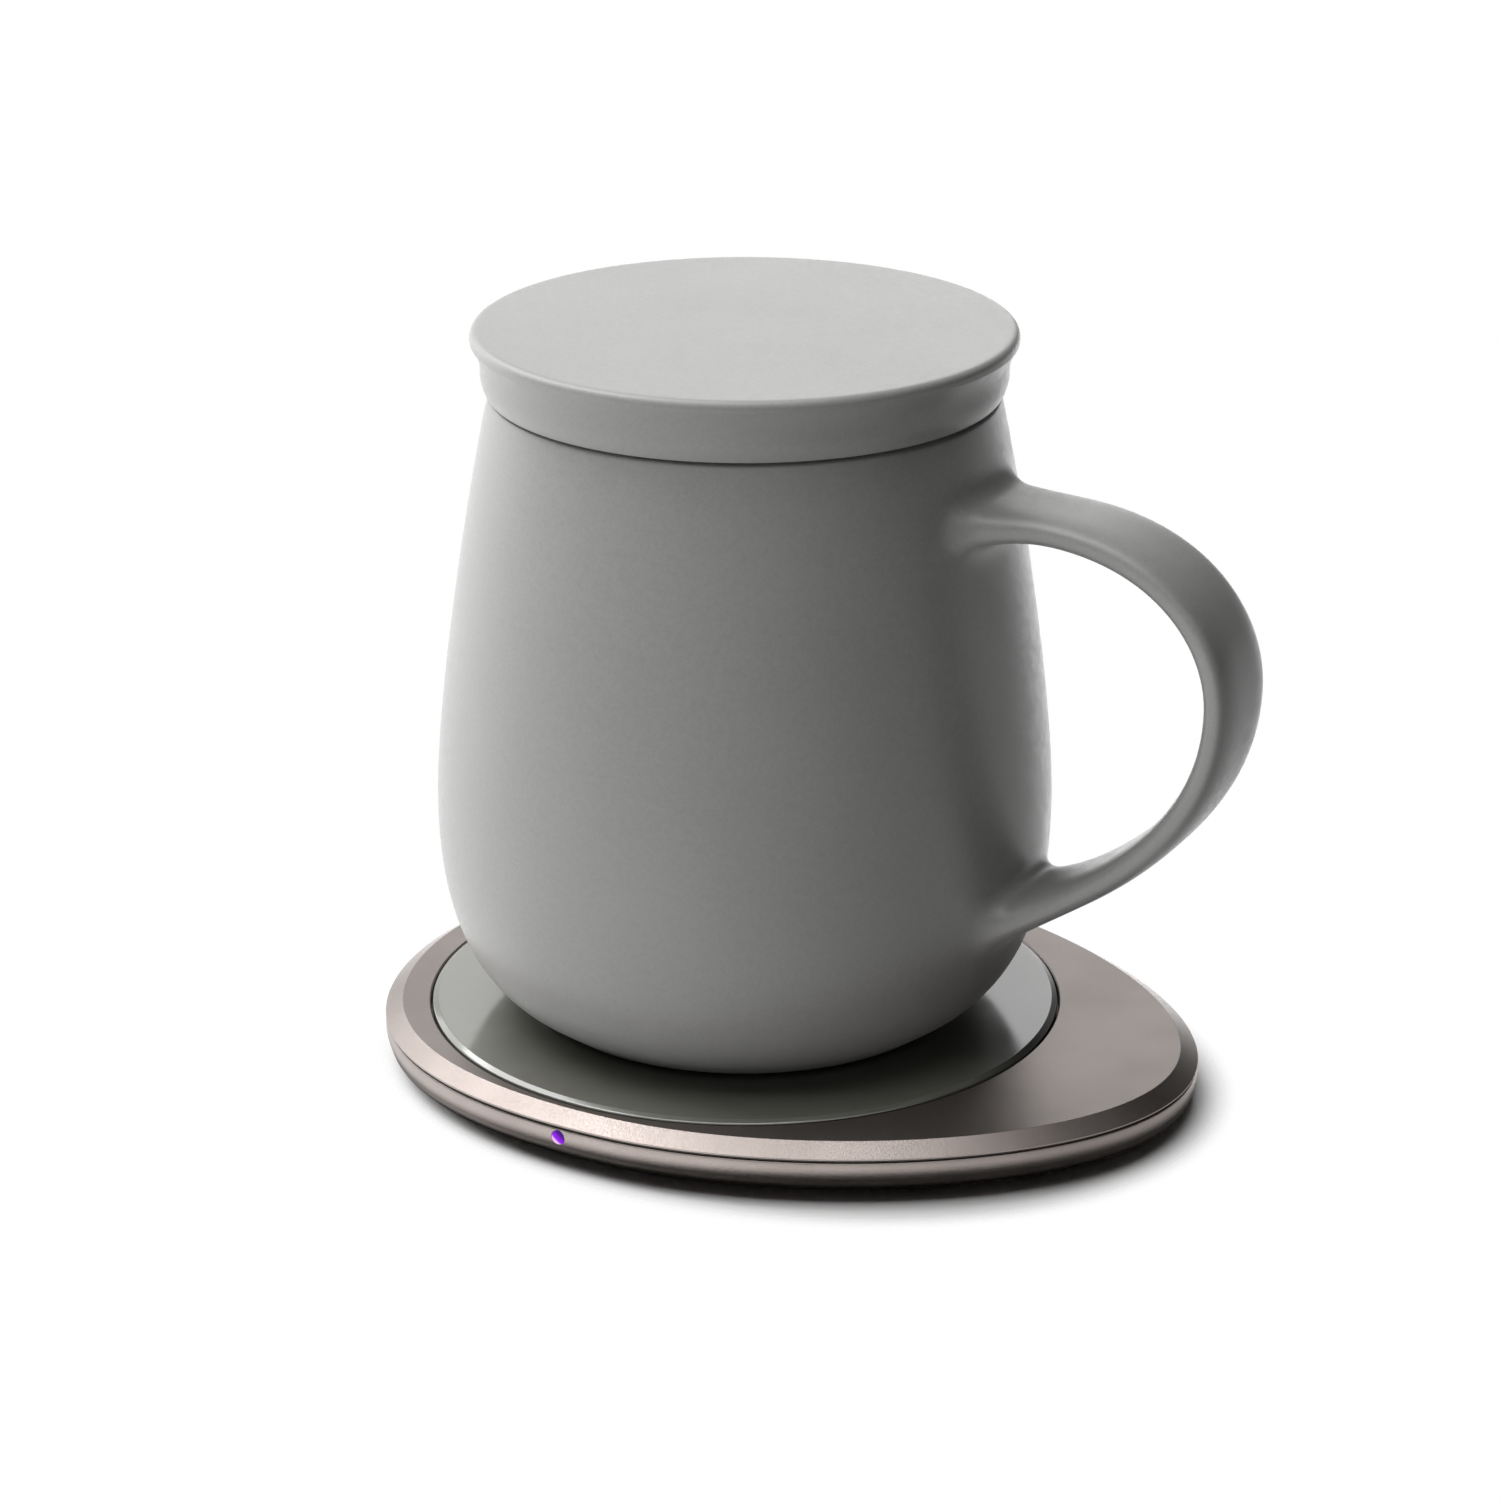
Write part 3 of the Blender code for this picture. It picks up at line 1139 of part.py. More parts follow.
def build_seals_and_mat(frame):
    """The gasket in the seam between the shells, and the mat that the pad stands on."""
    low, high = RIM_HEIGHT + THIN_GAP, SKIRT_HEIGHT - THIN_GAP
    inner = SEAM_GASKET_INSET + SEAM_GASKET_WIDTH
    rows = [
        egg_row(SEAM_GASKET_INSET, low),
        egg_row(SEAM_GASKET_INSET, high),
        egg_row(inner, high),
        egg_row(inner, low),
    ]
    loft("shell_gasket", rows, SILICONE, frame, ring=True)
    flat_plate("foot_mat", [egg(MAT_INSET)], 0.0, MAT_THICKNESS, SILICONE, frame)


clear_scene()
PARTS = collection_named("self_heating_mug")
CUTTERS = collection_named("cutters", hidden=True)

CERAMIC = finish_named("ceramic", (0.30, 0.30, 0.29), 0.45)
DARK_PLASTIC = finish_named("dark_plastic", (0.04, 0.04, 0.045), 0.6)
SILICONE = finish_named("silicone", (0.06, 0.06, 0.06), 0.85)
COPPER = finish_named("copper", (0.72, 0.33, 0.16), 0.35, 1.0)
FERRITE = finish_named("ferrite", (0.10, 0.10, 0.11), 0.6)
BOARD = finish_named("board", (0.02, 0.12, 0.07), 0.5)
CHIP = finish_named("chip", (0.02, 0.02, 0.02), 0.4)
SENSOR = finish_named("sensor", (0.20, 0.10, 0.03), 0.4)
INSULATION = finish_named("insulation", (0.75, 0.73, 0.68), 0.9)
HEATER = finish_named("heater", (0.80, 0.78, 0.72), 0.5)
THERMAL_PAD = finish_named("thermal_pad", (0.35, 0.45, 0.55), 0.8)
PAD_METAL = finish_named("pad_metal", (0.36, 0.32, 0.30), 0.35, 0.9)
PLATE_GLASS = finish_named("plate_glass", (0.24, 0.25, 0.23), 0.1)
STEEL = finish_named("steel", (0.62, 0.62, 0.63), 0.3, 1.0)
CLEAR = finish_named("clear", (0.35, 0.05, 0.75), 0.15)
LED_LIGHT = finish_named("led_light", (0.45, 0.10, 0.90), 0.3)

pad_frame = frame_at("pad_frame", 0.0)
mug_frame = frame_at("mug_frame", MUG_REST)
lid_frame = frame_at("lid_frame", LID_REST, mug_frame)

build_mug_body(mug_frame)
build_foot(mug_frame)
build_module(mug_frame)
build_lid(lid_frame)
build_top_shell(pad_frame)
pad_base = build_base(pad_frame)
build_plate(pad_frame)
build_carrier(pad_frame)
main_board = build_board(pad_frame)
build_screws(pad_frame)
build_usb(usb_frame_on(pad_frame), pad_base, main_board)
build_light(pad_frame)
build_seals_and_mat(pad_frame)

bpy.context.view_layer.update()
for part in list(PARTS.objects):
    if part.type == "MESH":
        settle(part)
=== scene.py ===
import json
import math

import bmesh
import bpy
from mathutils import Matrix, Vector, geometry


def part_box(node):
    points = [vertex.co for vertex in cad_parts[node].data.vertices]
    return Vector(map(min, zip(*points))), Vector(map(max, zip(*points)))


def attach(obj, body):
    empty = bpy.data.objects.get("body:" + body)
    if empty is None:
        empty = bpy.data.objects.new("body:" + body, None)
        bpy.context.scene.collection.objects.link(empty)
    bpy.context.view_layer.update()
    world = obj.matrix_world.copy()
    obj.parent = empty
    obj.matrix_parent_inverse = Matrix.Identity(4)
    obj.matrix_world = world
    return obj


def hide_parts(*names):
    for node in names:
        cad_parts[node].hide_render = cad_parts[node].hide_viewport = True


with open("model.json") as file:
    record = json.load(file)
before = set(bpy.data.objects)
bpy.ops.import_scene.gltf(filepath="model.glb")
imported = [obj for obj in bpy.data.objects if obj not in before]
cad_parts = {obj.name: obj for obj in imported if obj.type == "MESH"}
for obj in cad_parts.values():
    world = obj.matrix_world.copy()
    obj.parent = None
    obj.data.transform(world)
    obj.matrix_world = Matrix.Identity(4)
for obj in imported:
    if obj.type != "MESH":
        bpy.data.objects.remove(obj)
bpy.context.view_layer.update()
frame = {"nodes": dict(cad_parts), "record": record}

MM = 0.001
WELD = 0.002 * MM
TINY = 0.0005 * MM

# Where things stand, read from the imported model
MUG_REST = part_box("foot_ring")[0].z
PAD_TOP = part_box("pad_top_shell")[1].z
PLATE_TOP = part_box("pad_plate")[1].z
PLATE_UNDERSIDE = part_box("pad_plate")[0].z
PLATE_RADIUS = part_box("pad_plate")[1].x
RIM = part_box("pad_base")[1].z
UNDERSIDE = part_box("pad_base")[0].z

# Clearances
FIT_GAP = 0.3 * MM
THIN_GAP = 0.1 * MM
OVERRUN = 2.0 * MM

# Mug body
MUG_HEIGHT = 93.6 * MM
BELLY_RADIUS = 45.5 * MM
BELLY_HEIGHT = 31.4 * MM
MOUTH_RADIUS = 37.05 * MM
MOUTH_LEAN = math.radians(14.9)
BASE_EDGE_RADIUS = 32.3 * MM
BASE_EDGE_HEIGHT = 0.35 * MM
BASE_EDGE_ROUND = 0.5 * MM
BASE_RISE = math.radians(24.8)
BASE_PULL = 8.1 * MM
BELLY_PULL_DOWN = 19.0 * MM
BELLY_PULL_UP = 17.6 * MM
MOUTH_PULL = 6.0 * MM
WALL = 3.6 * MM
LIP_WALL = 3.4 * MM
LIP_ROUND = 0.8 * MM
CAVITY_FLOOR = 14.5 * MM
CAVITY_FLAT_RADIUS = 22.0 * MM
CAVITY_FLOOR_PULL = 15.0 * MM
CAVITY_WALL_PULL = 9.0 * MM
COVER_HOLE = 28.3 * MM
RECESS_STEP = 2.4 * MM
RECESS_RADIUS = 26.5 * MM
RECESS_TOP = 10.9 * MM
MOUTH_STEPS = 80
BASE_STEPS = 60
BODY_SIDES = 96
BODY_ROW = 2.6 * MM
BODY_SMOOTH_ANGLE = math.radians(50)

# Handle
HANDLE_TOP = (35.95 * MM, 79.9 * MM)
HANDLE_TOP_RISE = math.radians(11.4)
HANDLE_TOP_PULL = 29.0 * MM
HANDLE_REACH = (76.7 * MM, 59.2 * MM)
HANDLE_PULL_UP = 12.0 * MM
HANDLE_PULL_DOWN = 22.2 * MM
HANDLE_LOW = (42.5 * MM, 20.8 * MM)
HANDLE_LOW_RISE = math.radians(23.6)
HANDLE_LOW_PULL = 11.7 * MM
HANDLE_WIDTH = 15.6 * MM
HANDLE_ROOT_WIDTH = 17.4 * MM
HANDLE_THICKNESS = 4.4 * MM
HANDLE_SQUARENESS = 3.2
ROOT_ROUND = 3.2 * MM
ROOT_FLARE_REACH = 12.0 * MM
ROOT_FLARE_WIDTH = 4.6 * MM
ROOT_FLARE_THICKNESS = 2.0 * MM
ROOT_DEGREES = (90, 67, 45, 22, 0)
ROOT_CLEAR = 1.3 * ROOT_ROUND
PATCH_COLUMNS = 6
PATCH_ROWS = 4
STRAP_SIDES = 4 * (PATCH_COLUMNS + PATCH_ROWS)
STRAP_STEPS = 60
STRAP_ROW = 2.6 * MM
BISECTIONS = 24

# Lid
LID_REST = MUG_REST + MUG_HEIGHT + FIT_GAP
LID_HEIGHT = 9.3 * MM
LID_FLANGE_RADIUS = 39.4 * MM
LID_FLANGE_HEIGHT = 7.7 * MM
LID_EDGE_ROUND = 1.15 * MM
LID_LOW_ROUND = 0.25 * MM
LID_BAND_RADIUS = 38.0 * MM
LID_BAND_TOP = 3.2 * MM
LID_BAND_TUCK = 1.0 * MM
LID_BAND_PULL = 1.4 * MM
LID_ROLL_PULL = 0.5 * MM
LID_FLARE_PULL = 2.0 * MM
LID_FLARE_LEAN = math.radians(33.0)
LID_CEILING = 5.3 * MM
SPIGOT_RADIUS = 32.75 * MM
SPIGOT_INNER_RADIUS = 29.35 * MM
SPIGOT_DEPTH = 8.3 * MM
SPIGOT_ROUND = 0.8 * MM
HOLLOW_ROUND = 3.0 * MM
GROOVE_RADIUS = 31.55 * MM
GROOVE_TOP = -1.6 * MM
GROOVE_LOW = -3.6 * MM
SEAL_OUTER_RADIUS = 33.35 * MM
SEAL_HIGH_ROUND = 0.2 * MM
SEAL_LOW_ROUND = 0.3 * MM
LID_CURVE_STEPS = 12
LID_ROUND_STEPS = 6

# Foot
FOOT_WIDTH = 3.2 * MM
FOOT_EASE = 0.25 * MM

# Pad outline and shells
NOSE_REACH = 71.1 * MM
SIDE_X = 3.7 * MM
SIDE_REACH = 51.15 * MM
TAIL_REACH = 54.1 * MM
NOSE_PULL = 0.532 * SIDE_REACH
TAIL_PULL = 0.358 * SIDE_REACH
SIDE_PULL_TO_NOSE = 0.419 * NOSE_REACH
SIDE_PULL_TO_TAIL = 0.882 * TAIL_REACH
EGG_STEPS = 48
EDGE_ROUND = 0.22 * MM
SKIRT = PAD_TOP - 1.95 * MM
SKIRT_ROUND = 0.09 * MM
CHAMFER_INSET = 2.6 * MM
CHAMFER_LOW = 0.25 * MM
SKIN = 1.0 * MM
SIDE_WALL = 1.4 * MM
BAND_LOW = 3.545 * MM
BAND_TAPER = 0.5 * MM
BAND_WIDEST = 0.3
BAND_STEPS = 6
CURL_STEPS = 10
UNDERSIDE_INSET = 6.6 * MM
MAT_INSET = 8.6 * MM
MAT_THICKNESS = 1.2 * MM
MAT_EASE = 0.2 * MM
GASKET_WIDTH = 0.9 * MM
BASE_FLOOR = 1.2 * MM
PLATE_SLOPE_WIDTH = 0.85 * MM
PLATE_SLOPE_DROP = 0.42 * MM
PLATE_EDGE_ROUND = 0.3 * MM
PLATE_ROUND_STEPS = 8
PLATE_SIDES = 192
WELL_ROUND = 0.2 * MM
LEDGE_WIDTH = 3.2 * MM
LEDGE_TOP = 6.9 * MM
LEDGE_THICKNESS = 1.0 * MM
COLLAR_WALL = 1.0 * MM

# Light and inlet
LIGHT_X = -3.7 * MM
LIGHT_HEIGHT = 5.3 * MM
LIGHT_RADIUS = 1.05 * MM
LIGHT_PROUD = 0.25 * MM
LIGHT_DOME = 0.15 * MM
LIGHT_FLANGE = 0.5 * MM
LIGHT_SHORTER = 0.45 * MM
LIGHT_SIDES = 40
INLET = next(mount for mount in frame["record"]["mounts"] if mount["name"] == "usb_c_inlet")
INLET_PLACE = Vector(INLET["pos_m"])
INLET_TURN = math.atan2(-INLET["axis"][0], INLET["axis"][1])
INLET_WIDTH = 8.94 * MM
INLET_HEIGHT = 3.26 * MM
INLET_FRONT = 1.5 * MM
INLET_BACK = -5.85 * MM
INLET_WALL = 0.3 * MM
INLET_ROOM = 0.2 * MM
INLET_EASE = 0.08 * MM
SLOT_STEPS = 12
TONGUE_WIDTH = 6.69 * MM
TONGUE_THICKNESS = 0.7 * MM
TONGUE_ROOT = -4.45 * MM
CONTACT_PITCH = 0.5 * MM

# Screw seats in the base, and coils
PAD_SCREWS = [f"pad_screw_{number}" for number in range(1, 5)]
BOARD_SCREWS = [f"board_screw_{number}" for number in range(1, 4)]
SEAT_TOP = 2.9 * MM
SEAT_RADIUS = 2.6 * MM
SEAT_HOLE = 1.0 * MM
HEAD_HOLE = 1.9 * MM
HEAD_SEAT = 2.1 * MM
BOSS_TOP = 2.8 * MM
BOSS_RADIUS = 2.0 * MM
BOSS_HOLE = 0.8 * MM
WIRE_RADIUS = 0.55 * MM
COIL_PITCH = 2.4 * MM
COIL_TURNS = 6
COIL_STEPS = 48
SENDING_COIL_RADIUS = 9.5 * MM
RECEIVING_COIL_RADIUS = 9.0 * MM

# The photograph's camera, given with +X to its right and +Y away, and turned with the studio
STUDIO_TURN = math.radians(27.31)
CAMERA_PLACE = (0.75 * MM, -645.83 * MM, 291.08 * MM)
CAMERA_PITCH = math.radians(69.37)
LENS = 111.967
FLOOR_RADIUS = 0.12
FLOOR_SIDES = 96

# How round things are cut
SIDES = 128
CUTTER_SIDES = 48
ROUND_STEPS = 4
SMOOTH_ANGLE = math.radians(30)
WIDE_ANGLE = math.radians(60)


# Materials

class Wire:
    """An output of a material's nodes that can stand in sums."""

    def __init__(self, finish, socket):
        self.finish = finish
        self.socket = socket

    def math(self, operation, first, second):
        return self.finish.add("ShaderNodeMath", {"operation": operation}, {0: first, 1: second})

    def __add__(self, other):
        return self.math("ADD", self, other)

    def __sub__(self, other):
        return self.math("SUBTRACT", self, other)

    def __rsub__(self, other):
        return self.math("SUBTRACT", other, self)

    def __mul__(self, other):
        return self.math("MULTIPLY", self, other)

    __rmul__ = __mul__

    def __gt__(self, other):
        return self.math("GREATER_THAN", self, other)


class Finish:
    """A material, or the world, whose nodes are added one by one."""

    def __init__(self, owner):
        owner.use_nodes = True
        self.owner = owner
        self.tree = owner.node_tree

    def add(self, kind, settings=None, sockets=None, output=0):
        """One node: its settings first, then values or links for its sockets."""
        node = self.tree.nodes.new(kind)
        for name, value in (settings or {}).items():
            setattr(node, name, value)
        for name, value in (sockets or {}).items():
            self.join(value, node.inputs[name])
        return Wire(self, node.outputs[output])

    def join(self, value, socket):
        if isinstance(value, Wire):
            self.tree.links.new(value.socket, socket)
        else:
            socket.default_value = value

    def place(self):
        return self.add("ShaderNodeTexCoord", output="Object")

    def split(self, vector):
        """The three numbers of a vector."""
        return [self.add("ShaderNodeSeparateXYZ", None, {0: vector}, part) for part in range(3)]

    def noise(self, scale, detail=2.0, roughness=0.5):
        """A noise whose cells are about 1 / scale metres wide."""
        place = self.place()
        sockets = {"Vector": place, "Scale": scale, "Detail": detail, "Roughness": roughness}
        return self.add("ShaderNodeTexNoise", None, sockets)

    def between(self, share, first, second):
        """A colour between two others."""
        settings = {"data_type": "RGBA"}
        sockets = {0: share, 6: opaque(first), 7: opaque(second)}
        return self.add("ShaderNodeMix", settings, sockets, 2)

    def spread(self, value, low, high, to_low=0.0, to_high=1.0):
        """A value eased from one range to another and kept inside it."""
        settings = {"interpolation_type": "SMOOTHSTEP"}
        sockets = {0: value, 1: low, 2: high, 3: to_low, 4: to_high}
        return self.add("ShaderNodeMapRange", settings, sockets)

    def relief(self, height, depth, strength):
        sockets = {"Height": height, "Distance": depth, "Strength": strength}
        return self.add("ShaderNodeBump", None, sockets)


def opaque(colour):
    return colour if isinstance(colour, Wire) else (*colour, 1.0)


def principled(name, **sockets):
    """A material with one Principled shader, whose sockets are set by name."""
    finish = Finish(bpy.data.materials.new(name))
    finish.shader = finish.tree.nodes["Principled BSDF"]
    feed(finish, **sockets)
    return finish


def feed(finish, **sockets):
    for socket, value in sockets.items():
        finish.join(value, finish.shader.inputs[socket.replace("_", " ")])


def dress(finish, shade, dark, light, rough, height, depth, strength):
    """A colour between two tones, a roughness, and a relief this many millimetres deep."""
    relief = finish.relief(height, depth * MM, strength)
    feed(finish, Base_Color=finish.between(shade, dark, light), Roughness=rough, Normal=relief)
    return finish.owner


def satin_glaze():
    """Fine-grained grey glaze: a soft sheen, tiny pits and a faint cloudiness."""
    finish = principled("satin_glaze")
    grain = finish.noise(2300, 3.0, 0.6)
    speck = finish.noise(900)
    cloud = finish.noise(38)
    shade = finish.spread(0.45 * grain + 0.25 * speck + 0.3 * cloud, 0.3, 0.7)
    tones = (0.318, 0.318, 0.312), (0.375, 0.374, 0.366)
    rough = finish.spread(speck, 0.3, 0.7, 0.36, 0.44)
    return dress(finish, shade, *tones, rough, grain + 0.6 * speck, 0.02, 0.6)


def blasted_metal():
    """Bead-blasted bronze-grey metal: a fine sparkle over a soft reflection."""
    finish = principled("blasted_metal", Metallic=1.0)
    bead = finish.noise(5000, 1.0)
    shade = finish.spread(finish.noise(60) + 0.4 * bead, 0.5, 0.9)
    tones = (0.222, 0.194, 0.181), (0.262, 0.229, 0.214)
    rough = finish.spread(bead, 0.3, 0.7, 0.32, 0.46)
    return dress(finish, shade, *tones, rough, bead, 0.03, 0.7)


def dark_glass():
    """The plate's glossy grey-green face, with faint rubbing marks from the mug's foot."""
    finish = principled("dark_glass", Specular_IOR_Level=1.0, IOR=1.6)
    haze = finish.noise(70, 3.0, 0.6)
    mark = finish.noise(1500)
    shade = finish.spread(haze, 0.3, 0.7)
    tones = (0.146, 0.147, 0.124), (0.162, 0.163, 0.138)
    rough = finish.spread(0.7 * haze + 0.3 * mark, 0.35, 0.65, 0.10, 0.17)
    return dress(finish, shade, *tones, rough, mark, 0.004, 0.3)


def moulded(name, dark, light, low, high, grain=1400, depth=0.02):
    """A moulded or sheet finish with two near tones, a roughness range and a fine grain."""
    finish = principled(name)
    fine = finish.noise(grain)
    shade = finish.spread(0.5 * fine + 0.5 * finish.noise(grain / 30), 0.35, 0.65)
    rough = finish.spread(fine, 0.3, 0.7, low, high)
    return dress(finish, shade, dark, light, rough, fine, depth, 0.5)


def bright_metal(name, dark, light, low, high):
    """Drawn or wound metal with fine lines round it."""
    finish = principled(name, Metallic=1.0)
    fine = finish.noise(1800, 3.0, 0.6)
    shade = finish.spread(finish.noise(120), 0.3, 0.7)
    rough = finish.spread(fine, 0.3, 0.7, low, high)
    return dress(finish, shade, dark, light, rough, fine, 0.006, 0.4)


def contact_plastic():
    """The dark tongue of the inlet, with gilt contacts across both of its faces."""
    finish = principled("contact_plastic", Roughness=0.45)
    turn = {"rotation_type": "Z_AXIS"}
    sockets = {"Vector": finish.place(), "Center": INLET_PLACE, "Angle": -INLET_TURN}
    place = finish.add("ShaderNodeVectorRotate", turn, sockets)
    x, y, z = finish.split(place)
    across = (x - INLET_PLACE.x) * (math.tau / CONTACT_PITCH)
    stripe = across.math("COSINE", across, 0.0) > 0.1
    inwards = (y > INLET_PLACE.y - 3.6 * MM) * (-1.0 * y > 0.4 * MM - INLET_PLACE.y)
    away = (z - INLET_PLACE.z) * (z - INLET_PLACE.z)
    faces = away > (0.48 * TONGUE_THICKNESS) ** 2
    near = 1 - (away > TONGUE_THICKNESS**2)
    gilt = stripe * inwards * faces * near
    grain = finish.noise(1400)
    feed(
        finish, Base_Color=finish.between(gilt, (0.025,) * 3, (0.85, 0.60, 0.25)),
        Metallic=gilt, Roughness=finish.spread(grain, 0.3, 0.7, 0.3, 0.45),
    )
    return finish.owner


def lit_window():
    """The light's clear window: vivid violet, paler towards its lower left."""
    finish = principled(
        "lit_window", Roughness=0.25, Specular_IOR_Level=0.1, Emission_Strength=1.0
    )
    across, _, high = finish.split(finish.place())
    slant = (across - LIGHT_X) * -0.8 - (high - LIGHT_HEIGHT)
    core = finish.spread(slant, -1.0 * MM, 0.2 * MM)
    edge = finish.spread(slant, 0.3 * MM, 1.1 * MM)
    violet = finish.between(core, (0.045, 0.0, 0.20), (0.27, 0.0, 0.80))
    colour = finish.between(edge, violet, (1.0, 0.62, 1.0))
    feed(finish, Base_Color=(0.02, 0.0, 0.05, 1.0), Emission_Color=colour)
    return finish.owner


# Modelling

def leave_edit_mode():
    if bpy.context.mode != "OBJECT":
        bpy.ops.object.mode_set(mode="OBJECT")
    bpy.ops.object.select_all(action="DESELECT")


def select(action="SELECT"):
    bpy.ops.mesh.select_all(action=action)


def new_piece(name):
    """A new object in edit mode that holds one vertex at the origin."""
    leave_edit_mode()
    bpy.ops.mesh.primitive_plane_add(size=MM)
    piece = bpy.context.active_object
    piece.name = name
    piece.data.name = name
    bpy.ops.object.mode_set(mode="EDIT")
    select()
    bpy.ops.mesh.merge(type="CENTER")
    return piece


def extend(x, y, z):
    """Draws an edge that leads this far from the selected vertex."""
    bpy.ops.mesh.extrude_vertices_move(TRANSFORM_OT_translate={"value": (x, y, z)})


def draw(points):
    """Draws edges from point to point, given as (distance from the axis, height)."""
    x, z = points[0]
    bpy.ops.transform.translate(value=(x, 0, z))
    for (x, z), (next_x, next_z) in zip(points, points[1:]):
        extend(next_x - x, 0, next_z - z)


def pick(piece):
    """Leaves edit mode with only this piece selected."""
    leave_edit_mode()
    piece.select_set(True)
    bpy.context.view_layer.objects.active = piece


def close_up():
    """Merges what lies together and turns the faces outwards."""
    select()
    bpy.ops.mesh.remove_doubles(threshold=WELD)
    bpy.ops.mesh.normals_make_consistent(inside=False)


def spin(points, sides):
    """Turns a section line round the axis."""
    draw(points)
    select()
    bpy.ops.mesh.spin(steps=sides, angle=math.tau, center=(0, 0, 0), axis=(0, 0, 1))
    close_up()


def smooth(piece, angle=SMOOTH_ANGLE):
    """Leaves edit mode and shades the piece's round faces smooth."""
    pick(piece)
    bpy.ops.object.shade_smooth_by_angle(angle=angle)


def seat(piece, body, slot, *nodes, finish=None):
    """Gives the piece its body and a finish, as a rule its slot's own, and hides the nodes that
    it stands for."""
    piece.data.materials.clear()
    piece.data.materials.append(finishes[finish or slot])
    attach(piece, body)
    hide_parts(*nodes)


def apply(piece, modifier):
    pick(piece)
    bpy.ops.object.modifier_apply(modifier=modifier.name)


def carve(piece, tool, operation="DIFFERENCE"):
    """Cuts the tool out of the piece, or joins it on, and clears the tool away."""
    leave_edit_mode()
    step = piece.modifiers.new("Carve", "BOOLEAN")
    step.operation = operation
    step.solver = "EXACT"
    step.object = tool
    apply(piece, step)
    bpy.data.objects.remove(tool)


def soften(corners, steps=ROUND_STEPS):
    """The line through (x, z, rounding) corners, with an arc at each rounded one and a point just
    before and after it that keeps the flats flat."""
    line = []
    for i, (x, z, rounding) in enumerate(corners):
        corner = Vector((x, z))
        if not rounding:
            line.append(corner)
            continue
        before = Vector(corners[i - 1][:2]) - corner
        after = Vector(corners[(i + 1) % len(corners)][:2]) - corner
        half = before.angle(after) / 2
        reach = rounding / math.tan(half)
        hold = reach + rounding / 2
        centre = corner + (before.normalized() + after.normalized()).normalized() * (
            rounding / math.sin(half)
        )
        start = corner + before.normalized() * reach - centre
        end = corner + after.normalized() * reach - centre
        turn = math.atan2(start.x * end.y - start.y * end.x, start.dot(end))
        if before.length > hold:
            line.append(corner + before.normalized() * hold)
        for step in range(steps + 1):
            line.append(centre + Matrix.Rotation(turn * step / steps, 2) @ start)
        if after.length > hold:
            line.append(corner + after.normalized() * hold)
    return [tuple(point) for point in line]


def bezier(start, start_pull, end_pull, end, steps):
    """Points on a cubic curve between two places, with its two handles given as offsets."""
    start, end = Vector(start), Vector(end)
    first, second = start + Vector(start_pull), end + Vector(end_pull)
    points = geometry.interpolate_bezier(
        start.to_3d(), first.to_3d(), second.to_3d(), end.to_3d(), steps + 1
    )
    return [point.to_2d() for point in points]


def even(points, spacing):
    """The same line cut into equal steps of about this spacing."""
    lengths = [0.0]
    for near, far in zip(points, points[1:]):
        lengths.append(lengths[-1] + (far - near).length)
    count = max(1, round(lengths[-1] / spacing))
    line = []
    i = 0
    for step in range(count + 1):
        length = lengths[-1] * step / count
        while i < len(points) - 2 and lengths[i + 1] < length:
            i += 1
        share = (length - lengths[i]) / (lengths[i + 1] - lengths[i])
        line.append(points[i].lerp(points[i + 1], share))
    return line


# Mug body and handle

def upper_curve(inset, lip_inset):
    """From under the lip to the belly, this far inside the mug's outer curve."""
    mouth = (MOUTH_RADIUS - lip_inset, MUG_HEIGHT - LIP_ROUND)
    pull = (MOUTH_PULL * math.sin(MOUTH_LEAN), -MOUTH_PULL * math.cos(MOUTH_LEAN))
    belly = (BELLY_RADIUS - inset, BELLY_HEIGHT)
    return bezier(mouth, pull, (0, BELLY_PULL_UP), belly, MOUTH_STEPS)


def body_curve():
    """The mug's outer curve from under the lip to the edge of its underside."""
    belly = (BELLY_RADIUS, BELLY_HEIGHT)
    base = (BASE_EDGE_RADIUS, BASE_EDGE_HEIGHT + BASE_EDGE_ROUND)
    pull = (BASE_PULL * math.cos(BASE_RISE), BASE_PULL * math.sin(BASE_RISE))
    return upper_curve(0, 0) + bezier(belly, (0, -BELLY_PULL_DOWN), pull, base, BASE_STEPS)[1:]


BODY_CURVE = body_curve()


def body_radius(height):
    """The mug's outer radius at this height."""
    for high, low in zip(BODY_CURVE, BODY_CURVE[1:]):
        if low.y <= height <= high.y:
            return low.x + (high.x - low.x) * (height - low.y) / (high.y - low.y)
    return BODY_CURVE[0].x if height > BODY_CURVE[0].y else BODY_CURVE[-1].x


